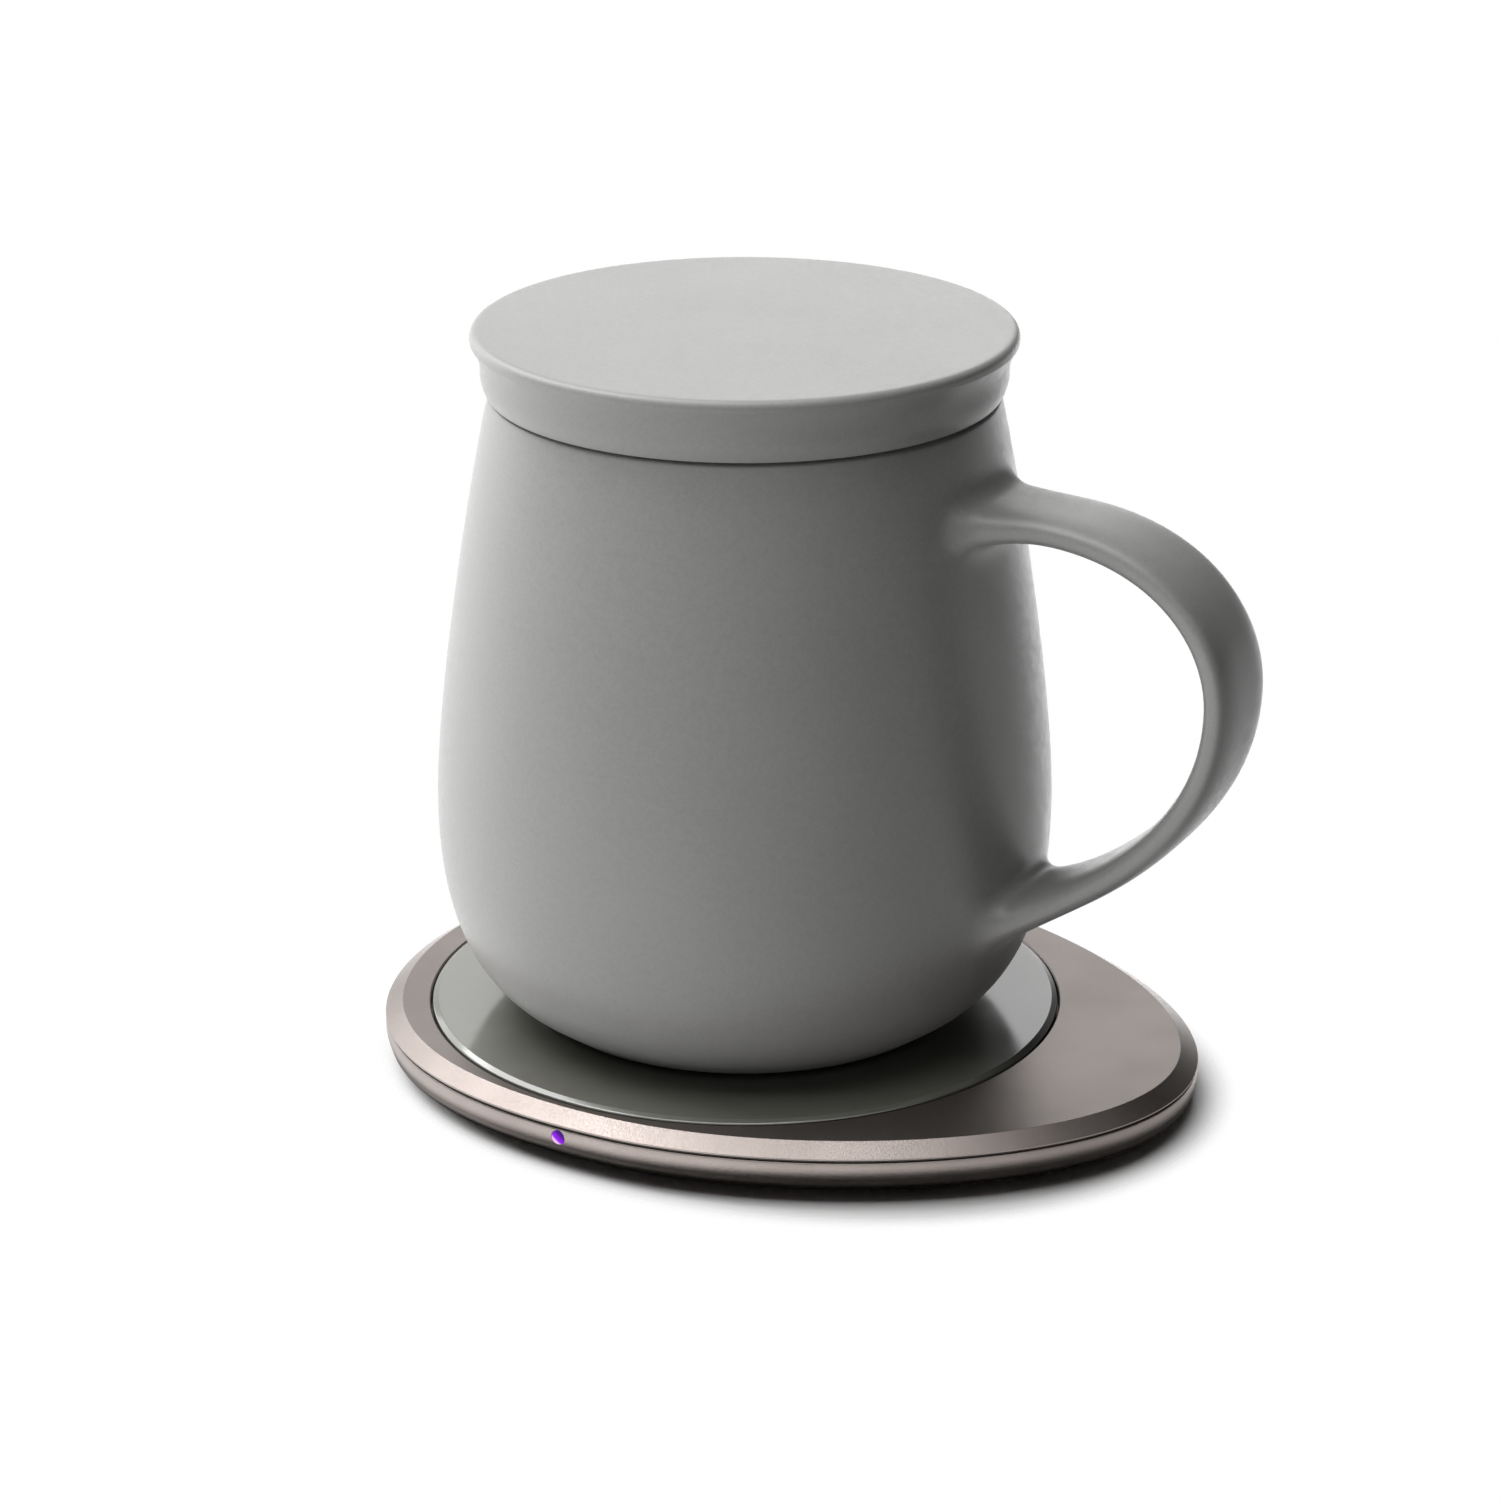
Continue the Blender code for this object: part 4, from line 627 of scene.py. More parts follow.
def body_section():
    """Half of the mug's section, from the middle of its floor round the lip to the recess."""
    belly = (BELLY_RADIUS - WALL, BELLY_HEIGHT)
    floor_edge = (CAVITY_FLAT_RADIUS, CAVITY_FLOOR)
    pulls = (0, -CAVITY_WALL_PULL), (CAVITY_FLOOR_PULL, 0)
    wall = upper_curve(WALL, LIP_WALL) + bezier(belly, *pulls, floor_edge, BASE_STEPS)[1:]
    inside = [tuple(point) for point in reversed(even(wall, BODY_ROW))]
    outside = [tuple(point) for point in even(BODY_CURVE, BODY_ROW)]
    lip = []
    lip_centre = MOUTH_RADIUS - LIP_WALL + LIP_ROUND
    for centre, start in ((lip_centre, 180), (MOUTH_RADIUS - LIP_ROUND, 90)):
        for step in range(ROUND_STEPS + 1):
            angle = math.radians(start - 90 * step / ROUND_STEPS)
            rise = LIP_ROUND * math.sin(angle)
            lip.append((centre + LIP_ROUND * math.cos(angle), MUG_HEIGHT - LIP_ROUND + rise))
    edge = BASE_EDGE_ROUND
    under = soften([
        (*outside[-1], 0),
        (BASE_EDGE_RADIUS - edge / 2, BASE_EDGE_HEIGHT, edge / 2),
        (COVER_HOLE, BASE_EDGE_HEIGHT, edge / 2),
        (COVER_HOLE, RECESS_STEP, 0),
        (RECESS_RADIUS, RECESS_STEP, 0),
        (RECESS_RADIUS, RECESS_TOP, 0),
        (0, RECESS_TOP, 0),
    ], 2)
    start = [(0, CAVITY_FLOOR), (CAVITY_FLAT_RADIUS / 2, CAVITY_FLOOR)]
    return start + inside + lip[1:-1] + outside + under[1:], outside


def strap_line():
    """The handle's centre line as (distance from the axis, height) points, upper root first."""
    top_pull = Vector((math.cos(HANDLE_TOP_RISE), math.sin(HANDLE_TOP_RISE))) * HANDLE_TOP_PULL
    low_pull = Vector((math.cos(HANDLE_LOW_RISE), math.sin(HANDLE_LOW_RISE))) * HANDLE_LOW_PULL
    upper = bezier(HANDLE_TOP, top_pull, (0, HANDLE_PULL_UP), HANDLE_REACH, STRAP_STEPS)
    lower = bezier(HANDLE_REACH, (0, -HANDLE_PULL_DOWN), low_pull, HANDLE_LOW, STRAP_STEPS)
    return even(upper + lower[1:], STRAP_ROW)


def strap_side(side):
    """This side's place on the strap's rounded oblong section, as shares, and where it faces."""
    angle = math.tau * side / STRAP_SIDES
    power = 2 / HANDLE_SQUARENESS
    cosine, sine = math.cos(angle), math.sin(angle)
    across = math.copysign(abs(cosine) ** power, cosine)
    through = math.copysign(abs(sine) ** power, sine)
    facing = Vector((
        math.copysign(abs(cosine) ** (2 - power), cosine) / HANDLE_WIDTH,
        math.copysign(abs(sine) ** (2 - power), sine) / HANDLE_THICKNESS,
    ))
    return across, through, facing.normalized()


def strap_point(line, position, side):
    """A point on the plain strap, its position counted in points of the centre line."""
    first = min(int(position), len(line) - 2)
    centre = line[first].lerp(line[first + 1], position - first)
    before = line[first + 1] - line[max(first - 1, 0)]
    after = line[min(first + 2, len(line) - 1)] - line[first]
    along = before.normalized().lerp(after.normalized(), position - first).normalized()
    width = HANDLE_WIDTH + (HANDLE_ROOT_WIDTH - HANDLE_WIDTH) * position / (len(line) - 1)
    share = 1 - (centre.x - body_radius(centre.y)) / ROOT_FLARE_REACH
    flare = min(max(share, 0), 1) ** 2
    width += ROOT_FLARE_WIDTH * flare
    across, through, _ = strap_side(side)
    rise = through * (HANDLE_THICKNESS + ROOT_FLARE_THICKNESS * flare) / 2
    return Vector((centre.x - along.y * rise, across * width / 2, centre.y + along.x * rise))


def off_body(point):
    return math.hypot(point.x, point.y) - body_radius(point.z)


def root_ring(line, inside, clear, degrees):
    """A ring of the fillet at a root, at this angle of its quarter circle."""
    turn = math.radians(degrees)
    gap = ROOT_ROUND * (1 - math.sin(turn))
    swell = ROOT_ROUND * (1 - math.cos(turn))
    up = 1 if inside < clear else -1
    ring = []
    for side in range(STRAP_SIDES):
        low, high = inside, clear
        for _ in range(BISECTIONS):
            middle = (low + high) / 2
            if off_body(strap_point(line, middle, side)) < gap:
                low = middle
            else:
                high = middle
        point = strap_point(line, low, side)
        facing = strap_side(side)[2]
        y = point.y + swell * facing.x
        z = point.z + swell * facing.y * up
        reach = body_radius(z) + gap
        ring.append(Vector((math.sqrt(reach**2 - y**2), y, z)))
    return ring


def open_root(piece, rows, centre_height):
    """Deletes the patch of the skin where a root sits and returns the heights of its rows."""
    nearest = min(range(len(rows)), key=lambda i: abs(rows[i][1] - centre_height))
    high, low = rows[nearest - PATCH_ROWS][1], rows[nearest + PATCH_ROWS][1]
    reach = math.tau * PATCH_COLUMNS / BODY_SIDES
    select("DESELECT")
    bpy.ops.mesh.select_mode(type="FACE")
    cage = bmesh.from_edit_mesh(piece.data)
    for face in cage.faces:
        middle = face.calc_center_median()
        outer = math.hypot(middle.x, middle.y) > body_radius(middle.z) - WALL / 2
        around = abs(math.atan2(middle.y, middle.x)) < reach
        face.select = outer and around and low < middle.z < high
    bmesh.update_edit_mesh(piece.data)
    bpy.ops.mesh.delete(type="FACE")
    bpy.ops.mesh.select_mode(type="VERT")
    return low, rows[nearest][1], high


def number_edge(piece, heights, up):
    """Numbers the vertices round an opened root, from +Y by way of the strap's outer side."""
    low, middle, high = heights
    cage = bmesh.from_edit_mesh(piece.data)
    layer = cage.verts.layers.int.get("spot") or cage.verts.layers.int.new("spot")
    edges = [
        edge for edge in cage.edges
        if edge.is_boundary and all(low - WELD < vert.co.z < high + WELD for vert in edge.verts)
    ]
    around = {vert for edge in edges for vert in edge.verts}
    turn = {
        vert: (math.atan2(up * (vert.co.z - middle), vert.co.y) + WELD) % math.tau
        for vert in around
    }
    places = []
    for number, vert in enumerate(sorted(around, key=turn.get)):
        vert[layer] = number
        places.append(vert.co.copy())
    for edge in edges:
        edge.select = True
    bmesh.update_edit_mesh(piece.data)
    return places


def grow(piece, rings):
    """Extrudes the selected loop from ring to ring."""
    for ring in rings:
        bpy.ops.mesh.extrude_edges_move()
        cage = bmesh.from_edit_mesh(piece.data)
        layer = cage.verts.layers.int["spot"]
        for vert in cage.verts:
            if vert.select:
                vert.co = ring[vert[layer]]
        bmesh.update_edit_mesh(piece.data)


def make_mug_body():
    """A turned body whose skin is opened at the two roots and drawn out into the strap."""
    section, rows = body_section()
    piece = new_piece("ceramic_body")
    spin(section, BODY_SIDES)
    line = strap_line()
    last = len(line) - 1
    middle = last / 2
    roots = [root_ring(line, start, middle, 90) for start in (0, last)]
    centres = [sum(point.z for point in ring) / len(ring) for ring in roots]
    top_edge, low_edge = [open_root(piece, rows, centre) for centre in centres]
    select("DESELECT")
    low_places = number_edge(piece, low_edge, -1)
    select("DESELECT")
    number_edge(piece, top_edge, 1)
    rings = [root_ring(line, 0, middle, degrees) for degrees in ROOT_DEGREES]
    for i in range(len(line)):
        ring = [strap_point(line, i, side) for side in range(STRAP_SIDES)]
        if min(off_body(point) for point in ring) > ROOT_CLEAR:
            rings.append(ring)
    rings += [root_ring(line, last, middle, degrees) for degrees in reversed(ROOT_DEGREES)]
    grow(piece, rings + [low_places])
    close_up()
    bpy.ops.transform.translate(value=(0, 0, MUG_REST))
    bpy.ops.object.mode_set(mode="OBJECT")
    rounding = piece.modifiers.new("Smooth", "SUBSURF")
    rounding.levels = 1
    rounding.render_levels = 1
    apply(piece, rounding)
    smooth(piece, BODY_SMOOTH_ANGLE)
    seat(piece, "mug", "ceramic", "mug_body")


# Turned pieces

def turned(name, line, height, body, slot, *nodes, sides=SIDES):
    """A piece turned about the mug's axis from a section line that starts at this height."""
    piece = new_piece(name)
    spin(line, sides)
    bpy.ops.transform.translate(value=(0, 0, height))
    smooth(piece)
    seat(piece, body, slot, *nodes)


def make_foot():
    """The ring that the mug stands on and the cover that carries it."""
    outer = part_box("foot_ring")[1].x
    inner = outer - FOOT_WIDTH
    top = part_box("foot_ring")[1].z - MUG_REST
    corners = [(outer, top, 0), (outer, 0, FOOT_EASE), (inner, 0, FOOT_EASE), (inner, top, 0)]
    line = soften(corners)
    turned("soft_foot_ring", line + line[:1], MUG_REST, "mug", "silicone", "foot_ring")

    low, high = (corner.z - MUG_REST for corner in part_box("base_cover"))
    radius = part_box("base_cover")[1].x
    corners = [
        (0, high, 0),
        (radius, high, 0),
        (radius, low, FOOT_EASE),
        (outer + THIN_GAP, low, 0),
        (outer + THIN_GAP, top + THIN_GAP, 0),
        (inner - THIN_GAP, top + THIN_GAP, 0),
        (inner - THIN_GAP, low, 0),
        (0, low, 0),
    ]
    turned("moulded_cover", soften(corners), MUG_REST, "mug", "dark_plastic", "base_cover")


def make_lid():
    """The lid with its flange, flare, band, spigot and hollow, and the seal in its groove."""
    lean = Vector((-math.sin(LID_FLARE_LEAN), -math.cos(LID_FLARE_LEAN))) * LID_FLARE_PULL
    low = (LID_FLANGE_RADIUS, LID_FLANGE_HEIGHT)
    band_end = (LID_BAND_RADIUS, LID_BAND_TOP)
    band_low = (LID_BAND_RADIUS - LID_BAND_TUCK, 0)
    flare = bezier(low, lean, (0, LID_FLARE_PULL), band_end, LID_CURVE_STEPS)
    roll = (LID_ROLL_PULL, LID_ROLL_PULL)
    band = bezier(band_end, (0, -LID_BAND_PULL), roll, band_low, LID_CURVE_STEPS)
    corners = [
        (0, LID_HEIGHT, 0),
        (LID_FLANGE_RADIUS, LID_HEIGHT, LID_EDGE_ROUND),
        (*flare[0], LID_LOW_ROUND),
        *[(*point, 0) for point in flare[2:] + band[1:-1]],
        (*band_low, LID_LOW_ROUND),
        (SPIGOT_RADIUS, 0, 0),
        (SPIGOT_RADIUS, GROOVE_TOP, 0),
        (GROOVE_RADIUS, GROOVE_TOP, 0),
        (GROOVE_RADIUS, GROOVE_LOW, 0),
        (SPIGOT_RADIUS, GROOVE_LOW, 0),
        (SPIGOT_RADIUS, -SPIGOT_DEPTH, SPIGOT_ROUND),
        (SPIGOT_INNER_RADIUS, -SPIGOT_DEPTH, SPIGOT_ROUND / 2),
        (SPIGOT_INNER_RADIUS, LID_CEILING, HOLLOW_ROUND),
        (0, LID_CEILING, 0),
    ]
    line = soften(corners, LID_ROUND_STEPS)
    turned("ceramic_lid", line, LID_REST, "lid", "ceramic", "lid")

    inner = GROOVE_RADIUS + THIN_GAP
    high, low = GROOVE_TOP - THIN_GAP, GROOVE_LOW + THIN_GAP
    corners = [
        (inner, high, 0),
        (SEAL_OUTER_RADIUS, high, SEAL_HIGH_ROUND),
        (SEAL_OUTER_RADIUS, (high + low) / 2, SEAL_LOW_ROUND),
        (SPIGOT_RADIUS, low, 0),
        (inner, low, 0),
    ]
    line = soften(corners)
    turned("soft_lid_seal", line + line[:1], LID_REST, "lid", "silicone", "lid_seal")


def make_plate():
    """The round plate with the narrow slope round its rim."""
    corners = [
        (0, PLATE_TOP, 0),
        (PLATE_RADIUS - PLATE_SLOPE_WIDTH, PLATE_TOP, PLATE_EDGE_ROUND),
        (PLATE_RADIUS, PLATE_TOP - PLATE_SLOPE_DROP, PLATE_EDGE_ROUND),
        (PLATE_RADIUS, PLATE_UNDERSIDE, THIN_GAP),
        (0, PLATE_UNDERSIDE, 0),
    ]
    line = soften(corners, PLATE_ROUND_STEPS)
    turned("glass_plate", line, 0, "pad", "plate_glass", "pad_plate", sides=PLATE_SIDES)


# Pad shells

def egg_face(name, inset, height):
    """A new object in edit mode: the pad's outline as one face at this inset and height."""
    leave_edit_mode()
    bpy.ops.curve.primitive_bezier_circle_add(radius=SIDE_REACH)
    spline = bpy.context.active_object.data.splines[0]
    spline.resolution_u = EGG_STEPS
    corners = (
        ((NOSE_REACH, 0), (0, -NOSE_PULL), (0, NOSE_PULL)),
        ((SIDE_X, SIDE_REACH), (SIDE_PULL_TO_NOSE, 0), (-SIDE_PULL_TO_TAIL, 0)),
        ((-TAIL_REACH, 0), (0, TAIL_PULL), (0, -TAIL_PULL)),
        ((SIDE_X, -SIDE_REACH), (-SIDE_PULL_TO_TAIL, 0), (SIDE_PULL_TO_NOSE, 0)),
    )
    for point, (place, before, after) in zip(spline.bezier_points, corners):
        point.handle_left_type = "FREE"
        point.handle_right_type = "FREE"
        point.co = Vector(place).to_3d()
        point.handle_left = (Vector(place) + Vector(before)).to_3d()
        point.handle_right = (Vector(place) + Vector(after)).to_3d()
    bpy.ops.object.convert(target="MESH")
    piece = bpy.context.active_object
    piece.name = name
    piece.data.name = name
    bpy.ops.object.mode_set(mode="EDIT")
    select()
    bpy.ops.mesh.edge_face_add()
    if bmesh.from_edit_mesh(piece.data).faces[:][0].normal.z < 0:
        bpy.ops.mesh.flip_normals()
    bpy.ops.transform.translate(value=(0, 0, height))
    if inset:
        bpy.ops.mesh.inset(thickness=inset, use_even_offset=True)
        select("INVERT")
        bpy.ops.mesh.delete(type="VERT")
        select()
    return piece


def raise_face(rise):
    bpy.ops.mesh.extrude_region_move(TRANSFORM_OT_translate={"value": (0, 0, rise)})


def walk(line, facing=1):
    """Carries the selected face along (inset, height) points, which leaves the wall behind it."""
    for (inset, height), (next_inset, next_height) in zip(line, line[1:]):
        rise = next_height - height
        if next_inset - inset > TINY:
            bpy.ops.mesh.inset(
                thickness=next_inset - inset, depth=rise * facing, use_even_offset=True
            )
        else:
            raise_face(rise)


def pick_end(piece, facing):
    """Selects the one flat end face that faces up or down."""
    select("DESELECT")
    cage = bmesh.from_edit_mesh(piece.data)
    cage.normal_update()
    for face in cage.faces:
        if len(face.verts) > 4 and facing * face.normal.z > 0:
            face.select_set(True)
    bmesh.update_edit_mesh(piece.data)


def flats_apart(piece):
    """Keeps the shading of wide flat faces off the narrow rounded ones beside them."""
    mesh = piece.data
    wide = [polygon for polygon in mesh.polygons if len(polygon.vertices) > 4]
    edges = {key for polygon in wide for key in polygon.edge_keys}
    for edge in mesh.edges:
        if edge.key in edges:
            edge.use_edge_sharp = True


def cylinder(radius, length, place, along_y=False):
    """A plain cutter."""
    leave_edit_mode()
    turn = (math.pi / 2, 0, 0) if along_y else (0, 0, 0)
    bpy.ops.mesh.primitive_cylinder_add(
        vertices=CUTTER_SIDES, radius=radius, depth=length, location=place, rotation=turn
    )
    return bpy.context.active_object


def bar(name, section, front, back):
    """A bar along Y with this closed section, given as (x, z) points."""
    piece = new_piece(name)
    draw(section + section[:1])
    select()
    bpy.ops.mesh.remove_doubles(threshold=WELD)
    bpy.ops.mesh.edge_face_add()
    bpy.ops.transform.translate(value=(0, front, 0))
    bpy.ops.mesh.extrude_region_move(TRANSFORM_OT_translate={"value": (0, back - front, 0)})
    close_up()
    leave_edit_mode()
    return piece


def slot_bar(name, growth, front, back):
    """A bar with the inlet's round-ended section, this much larger all round."""
    radius = INLET_HEIGHT / 2 + growth
    straight = (INLET_WIDTH - INLET_HEIGHT) / 2
    section = []
    for x, start in ((straight, -90), (-straight, 90)):
        for step in range(SLOT_STEPS + 1):
            angle = math.radians(start + 180 * step / SLOT_STEPS)
            section.append((x + radius * math.cos(angle), radius * math.sin(angle)))
    return bar(name, section, front, back)


def at_inlet(piece):
    """Carries a bar from the origin to the inlet."""
    pick(piece)
    piece.location = INLET_PLACE
    piece.rotation_euler.z = INLET_TURN
    bpy.ops.object.transform_apply()


def ease_edges(piece):
    """Rounds the piece's sharp edges a little."""
    step = piece.modifiers.new("Ease", "BEVEL")
    step.width = INLET_EASE
    step.segments = 2
    step.limit_method = "ANGLE"
    step.angle_limit = WIDE_ANGLE
    apply(piece, step)


def make_top_shell():
    """The metal top: chamfered, with a stepped round well for the plate."""
    piece = egg_face("blasted_top_shell", 0, SKIRT + THIN_GAP)
    raise_face(THIN_GAP / 2)
    up = soften([
        (0, SKIRT + 1.5 * THIN_GAP, 0),
        (0, SKIRT + CHAMFER_LOW, SKIRT_ROUND),
        (CHAMFER_INSET, PAD_TOP, EDGE_ROUND),
        (CHAMFER_INSET + SKIN, PAD_TOP, 0),
    ])
    walk(up)
    pick_end(piece, -1)
    down = soften([
        (0, SKIRT + THIN_GAP, 0),
        (0, SKIRT, SKIRT_ROUND),
        (SKIN + FIT_GAP, SKIRT, 0),
        (CHAMFER_INSET + SKIN / 2, PAD_TOP - SKIN, 0),
    ])
    walk(down, -1)
    close_up()
    hole = PLATE_RADIUS + FIT_GAP
    collar = new_piece("collar")
    spin([
        (0, PAD_TOP - SKIN / 2),
        (hole + COLLAR_WALL, PAD_TOP - SKIN / 2),
        (hole + COLLAR_WALL, LEDGE_TOP - LEDGE_THICKNESS),
        (0, LEDGE_TOP - LEDGE_THICKNESS),
    ], PLATE_SIDES)
    carve(piece, collar, "UNION")
    well = new_piece("well")
    spin(soften([
        (0, PAD_TOP + OVERRUN, 0),
        (hole + OVERRUN + WELL_ROUND, PAD_TOP + OVERRUN, 0),
        (hole + WELL_ROUND, PAD_TOP, 0),
        (hole, PAD_TOP - WELL_ROUND, 0),
        (hole, LEDGE_TOP, 0),
        (hole - LEDGE_WIDTH, LEDGE_TOP, 0),
        (hole - LEDGE_WIDTH, LEDGE_TOP - LEDGE_THICKNESS - OVERRUN, 0),
        (0, LEDGE_TOP - LEDGE_THICKNESS - OVERRUN, 0),
    ]), PLATE_SIDES)
    carve(piece, well)
    smooth(piece)
    flats_apart(piece)
    seat(piece, "pad", "pad_metal", "pad_top_shell")


def make_base():
    """The lower shell: a softly bulging band that curls under to the mat's pocket."""
    belly = RIM - BAND_WIDEST * (RIM - BAND_LOW)
    piece = egg_face("blasted_base", 0, belly)
    raise_face(THIN_GAP)
    inside = SIDE_WALL + BAND_TAPER
    floor = UNDERSIDE + BASE_FLOOR
    up = soften([
        (0, belly + THIN_GAP, 0),
        (BAND_TAPER / 4, RIM, EDGE_ROUND),
        (SIDE_WALL, RIM, THIN_GAP),
        (inside, BAND_LOW, 0),
        (UNDERSIDE_INSET, floor, 0),
    ])
    walk(up)
    pick_end(piece, -1)
    down = [(0, belly)]
    for step in range(1, BAND_STEPS + 1):
        share = step / BAND_STEPS
        down.append((BAND_TAPER * share**2, belly + (BAND_LOW - belly) * share))
    for step in range(1, CURL_STEPS + 1):
        angle = math.radians(90 * step / CURL_STEPS)
        inset = BAND_TAPER + (UNDERSIDE_INSET - BAND_TAPER) * (1 - math.cos(angle))
        down.append((inset, BAND_LOW - (BAND_LOW - UNDERSIDE) * math.sin(angle)))
    pocket = MAT_INSET - FIT_GAP
    down += [(pocket - THIN_GAP, UNDERSIDE), (pocket, UNDERSIDE + THIN_GAP)]
    walk(down + [(pocket, MAT_THICKNESS + THIN_GAP)], -1)
    close_up()
    window = cylinder(
        LIGHT_RADIUS + THIN_GAP, 2 * (inside + OVERRUN),
        (LIGHT_X, -SIDE_REACH, LIGHT_HEIGHT), along_y=True,
    )
    carve(piece, window)
    add_seats(piece, floor)
    opening = slot_bar("opening", INLET_ROOM, INLET_FRONT + 2 * OVERRUN, -OVERRUN / 2)
    at_inlet(opening)
    carve(piece, opening)
    smooth(piece)
    flats_apart(piece)
    seat(piece, "pad", "pad_metal", "pad_base")


def post(radius, low, high, node):
    """An upright cylinder at the middle of a node in plan."""
    near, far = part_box(node)
    place = ((near.x + far.x) / 2, (near.y + far.y) / 2, (low + high) / 2)
    return cylinder(radius, high - low, place)


def add_seats(piece, floor):
    """The seats of the pad's screws and the bosses of the board's, with their holes."""
    for name in PAD_SCREWS:
        carve(piece, post(SEAT_RADIUS, floor - THIN_GAP, SEAT_TOP, name), "UNION")
    for name in BOARD_SCREWS:
        carve(piece, post(BOSS_RADIUS, floor - THIN_GAP, BOSS_TOP, name), "UNION")
        carve(piece, post(BOSS_HOLE, floor, BOSS_TOP + OVERRUN, name))
    for name in PAD_SCREWS:
        carve(piece, post(SEAT_HOLE, 0, SEAT_TOP + OVERRUN, name))
        carve(piece, post(HEAD_HOLE, 0, HEAD_SEAT, name))


def make_gasket():
    """The dark gasket in the seam between the shells."""
    low, high = (corner.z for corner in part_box("shell_gasket"))
    inset = SIDE_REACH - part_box("shell_gasket")[1].y
    piece = egg_face("seam_gasket", inset, low)
    raise_face(high - low)
    walk([(inset, high), (inset + GASKET_WIDTH, high), (inset + GASKET_WIDTH, low)])
    bpy.ops.mesh.delete(type="FACE")
    pick_end(piece, -1)
    bpy.ops.mesh.inset(thickness=GASKET_WIDTH, use_even_offset=True)
    bpy.ops.mesh.delete(type="FACE")
    close_up()
    smooth(piece)
    seat(piece, "pad", "silicone", "shell_gasket", finish="gasket_rubber")


def make_mat():
    """The soft mat that the pad stands on."""
    piece = egg_face("soft_mat", MAT_INSET, MAT_EASE)
    raise_face(MAT_THICKNESS - 2 * MAT_EASE)
    part_way = 0.3 * MAT_EASE
    edge = [(0, MAT_EASE), (part_way, part_way), (MAT_EASE, 0)]
    walk([(MAT_INSET + inset, MAT_THICKNESS - drop) for inset, drop in edge])
    pick_end(piece, -1)
    walk([(MAT_INSET + inset, height) for inset, height in edge], -1)
    close_up()
    smooth(piece)
    flats_apart(piece)
    seat(piece, "pad", "silicone", "foot_mat")


def make_inlet():
    """The inlet's drawn shell, and the insert with its tongue."""
    shell = slot_bar("drawn_shell", 0, INLET_FRONT, INLET_BACK)
    carve(shell, slot_bar("bore", -INLET_WALL, INLET_FRONT + OVERRUN, INLET_BACK - OVERRUN))
    ease_edges(shell)
    at_inlet(shell)
    smooth(shell)
    seat(shell, "pad", "steel", "usb_shell")

    insert = slot_bar("contact_tongue", -INLET_WALL - THIN_GAP, TONGUE_ROOT, INLET_BACK)
    half_width, half = TONGUE_WIDTH / 2, TONGUE_THICKNESS / 2
    section = soften([
        (half_width, -half, half / 2),
        (half_width, half, half / 2),
        (-half_width, half, half / 2),
        (-half_width, -half, half / 2),
    ], 2)
    carve(insert, bar("tongue", section, 0, (TONGUE_ROOT + INLET_BACK) / 2), "UNION")
    at_inlet(insert)
    smooth(insert)
    seat(insert, "pad", "dark_plastic", "usb_tongue", finish="contact_plastic")


def make_coil(name, node, inner_radius, body):
    """A flat spiral of round wire."""
    low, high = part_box(node)
    piece = new_piece(name)
    bpy.ops.transform.translate(value=(inner_radius, 0, (low.z + high.z) / 2))
    place = Vector((inner_radius, 0))
    for step in range(1, COIL_TURNS * COIL_STEPS + 1):
        angle = math.tau * step / COIL_STEPS
        radius = inner_radius + COIL_PITCH * step / COIL_STEPS
        following = Vector((math.cos(angle), math.sin(angle))) * radius
        extend(*(following - place), 0)
        place = following
    pick(piece)
    bpy.ops.object.convert(target="CURVE")
    piece = bpy.context.active_object
    piece.data.bevel_depth = WIRE_RADIUS
    piece.data.bevel_resolution = 3
    piece.data.use_fill_caps = True
    bpy.ops.object.convert(target="MESH")
    piece = bpy.context.active_object
    bpy.ops.object.mode_set(mode="EDIT")
    close_up()
    smooth(piece, WIDE_ANGLE)
    seat(piece, body, "copper", node)


def make_window():
    """The light's round window, slightly domed, with its flange behind the wall."""
    low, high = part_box("light_pipe")
    front, back = low.y - LIGHT_PROUD, high.y - LIGHT_SHORTER
    flange = (high.x - low.x) / 2
    piece = new_piece("light_window")
    bpy.ops.transform.translate(value=(LIGHT_X, front, LIGHT_HEIGHT))
    line = [
        (0, front),
        (LIGHT_RADIUS * 0.6, front + LIGHT_DOME / 4),
        (LIGHT_RADIUS, front + LIGHT_DOME),
        (LIGHT_RADIUS, back - LIGHT_FLANGE),
        (flange, back - LIGHT_FLANGE),
        (flange, back),
        (0, back),
    ]
    for (radius, y), (next_radius, next_y) in zip(line, line[1:]):
        extend(next_radius - radius, next_y - y, 0)
    select()
    centre = (LIGHT_X, 0, LIGHT_HEIGHT)
    bpy.ops.mesh.spin(steps=LIGHT_SIDES, angle=math.tau, center=centre, axis=(0, 1, 0))
    close_up()
    smooth(piece)
    seat(piece, "pad", "light", "light_pipe")


# Studio

def turned_place(place):
    """A place given by the camera's right, away and up, in the model's own frame."""
    return Matrix.Rotation(STUDIO_TURN, 3, "Z") @ Vector(place)


def make_camera():
    bpy.ops.object.camera_add(location=turned_place(CAMERA_PLACE))
    camera = bpy.context.active_object
    camera.rotation_euler = (CAMERA_PITCH, 0, STUDIO_TURN)
    camera.data.lens = LENS
    camera.data.sensor_width = 36.0
    camera.data.clip_start = 0.01
    bpy.context.scene.camera = camera


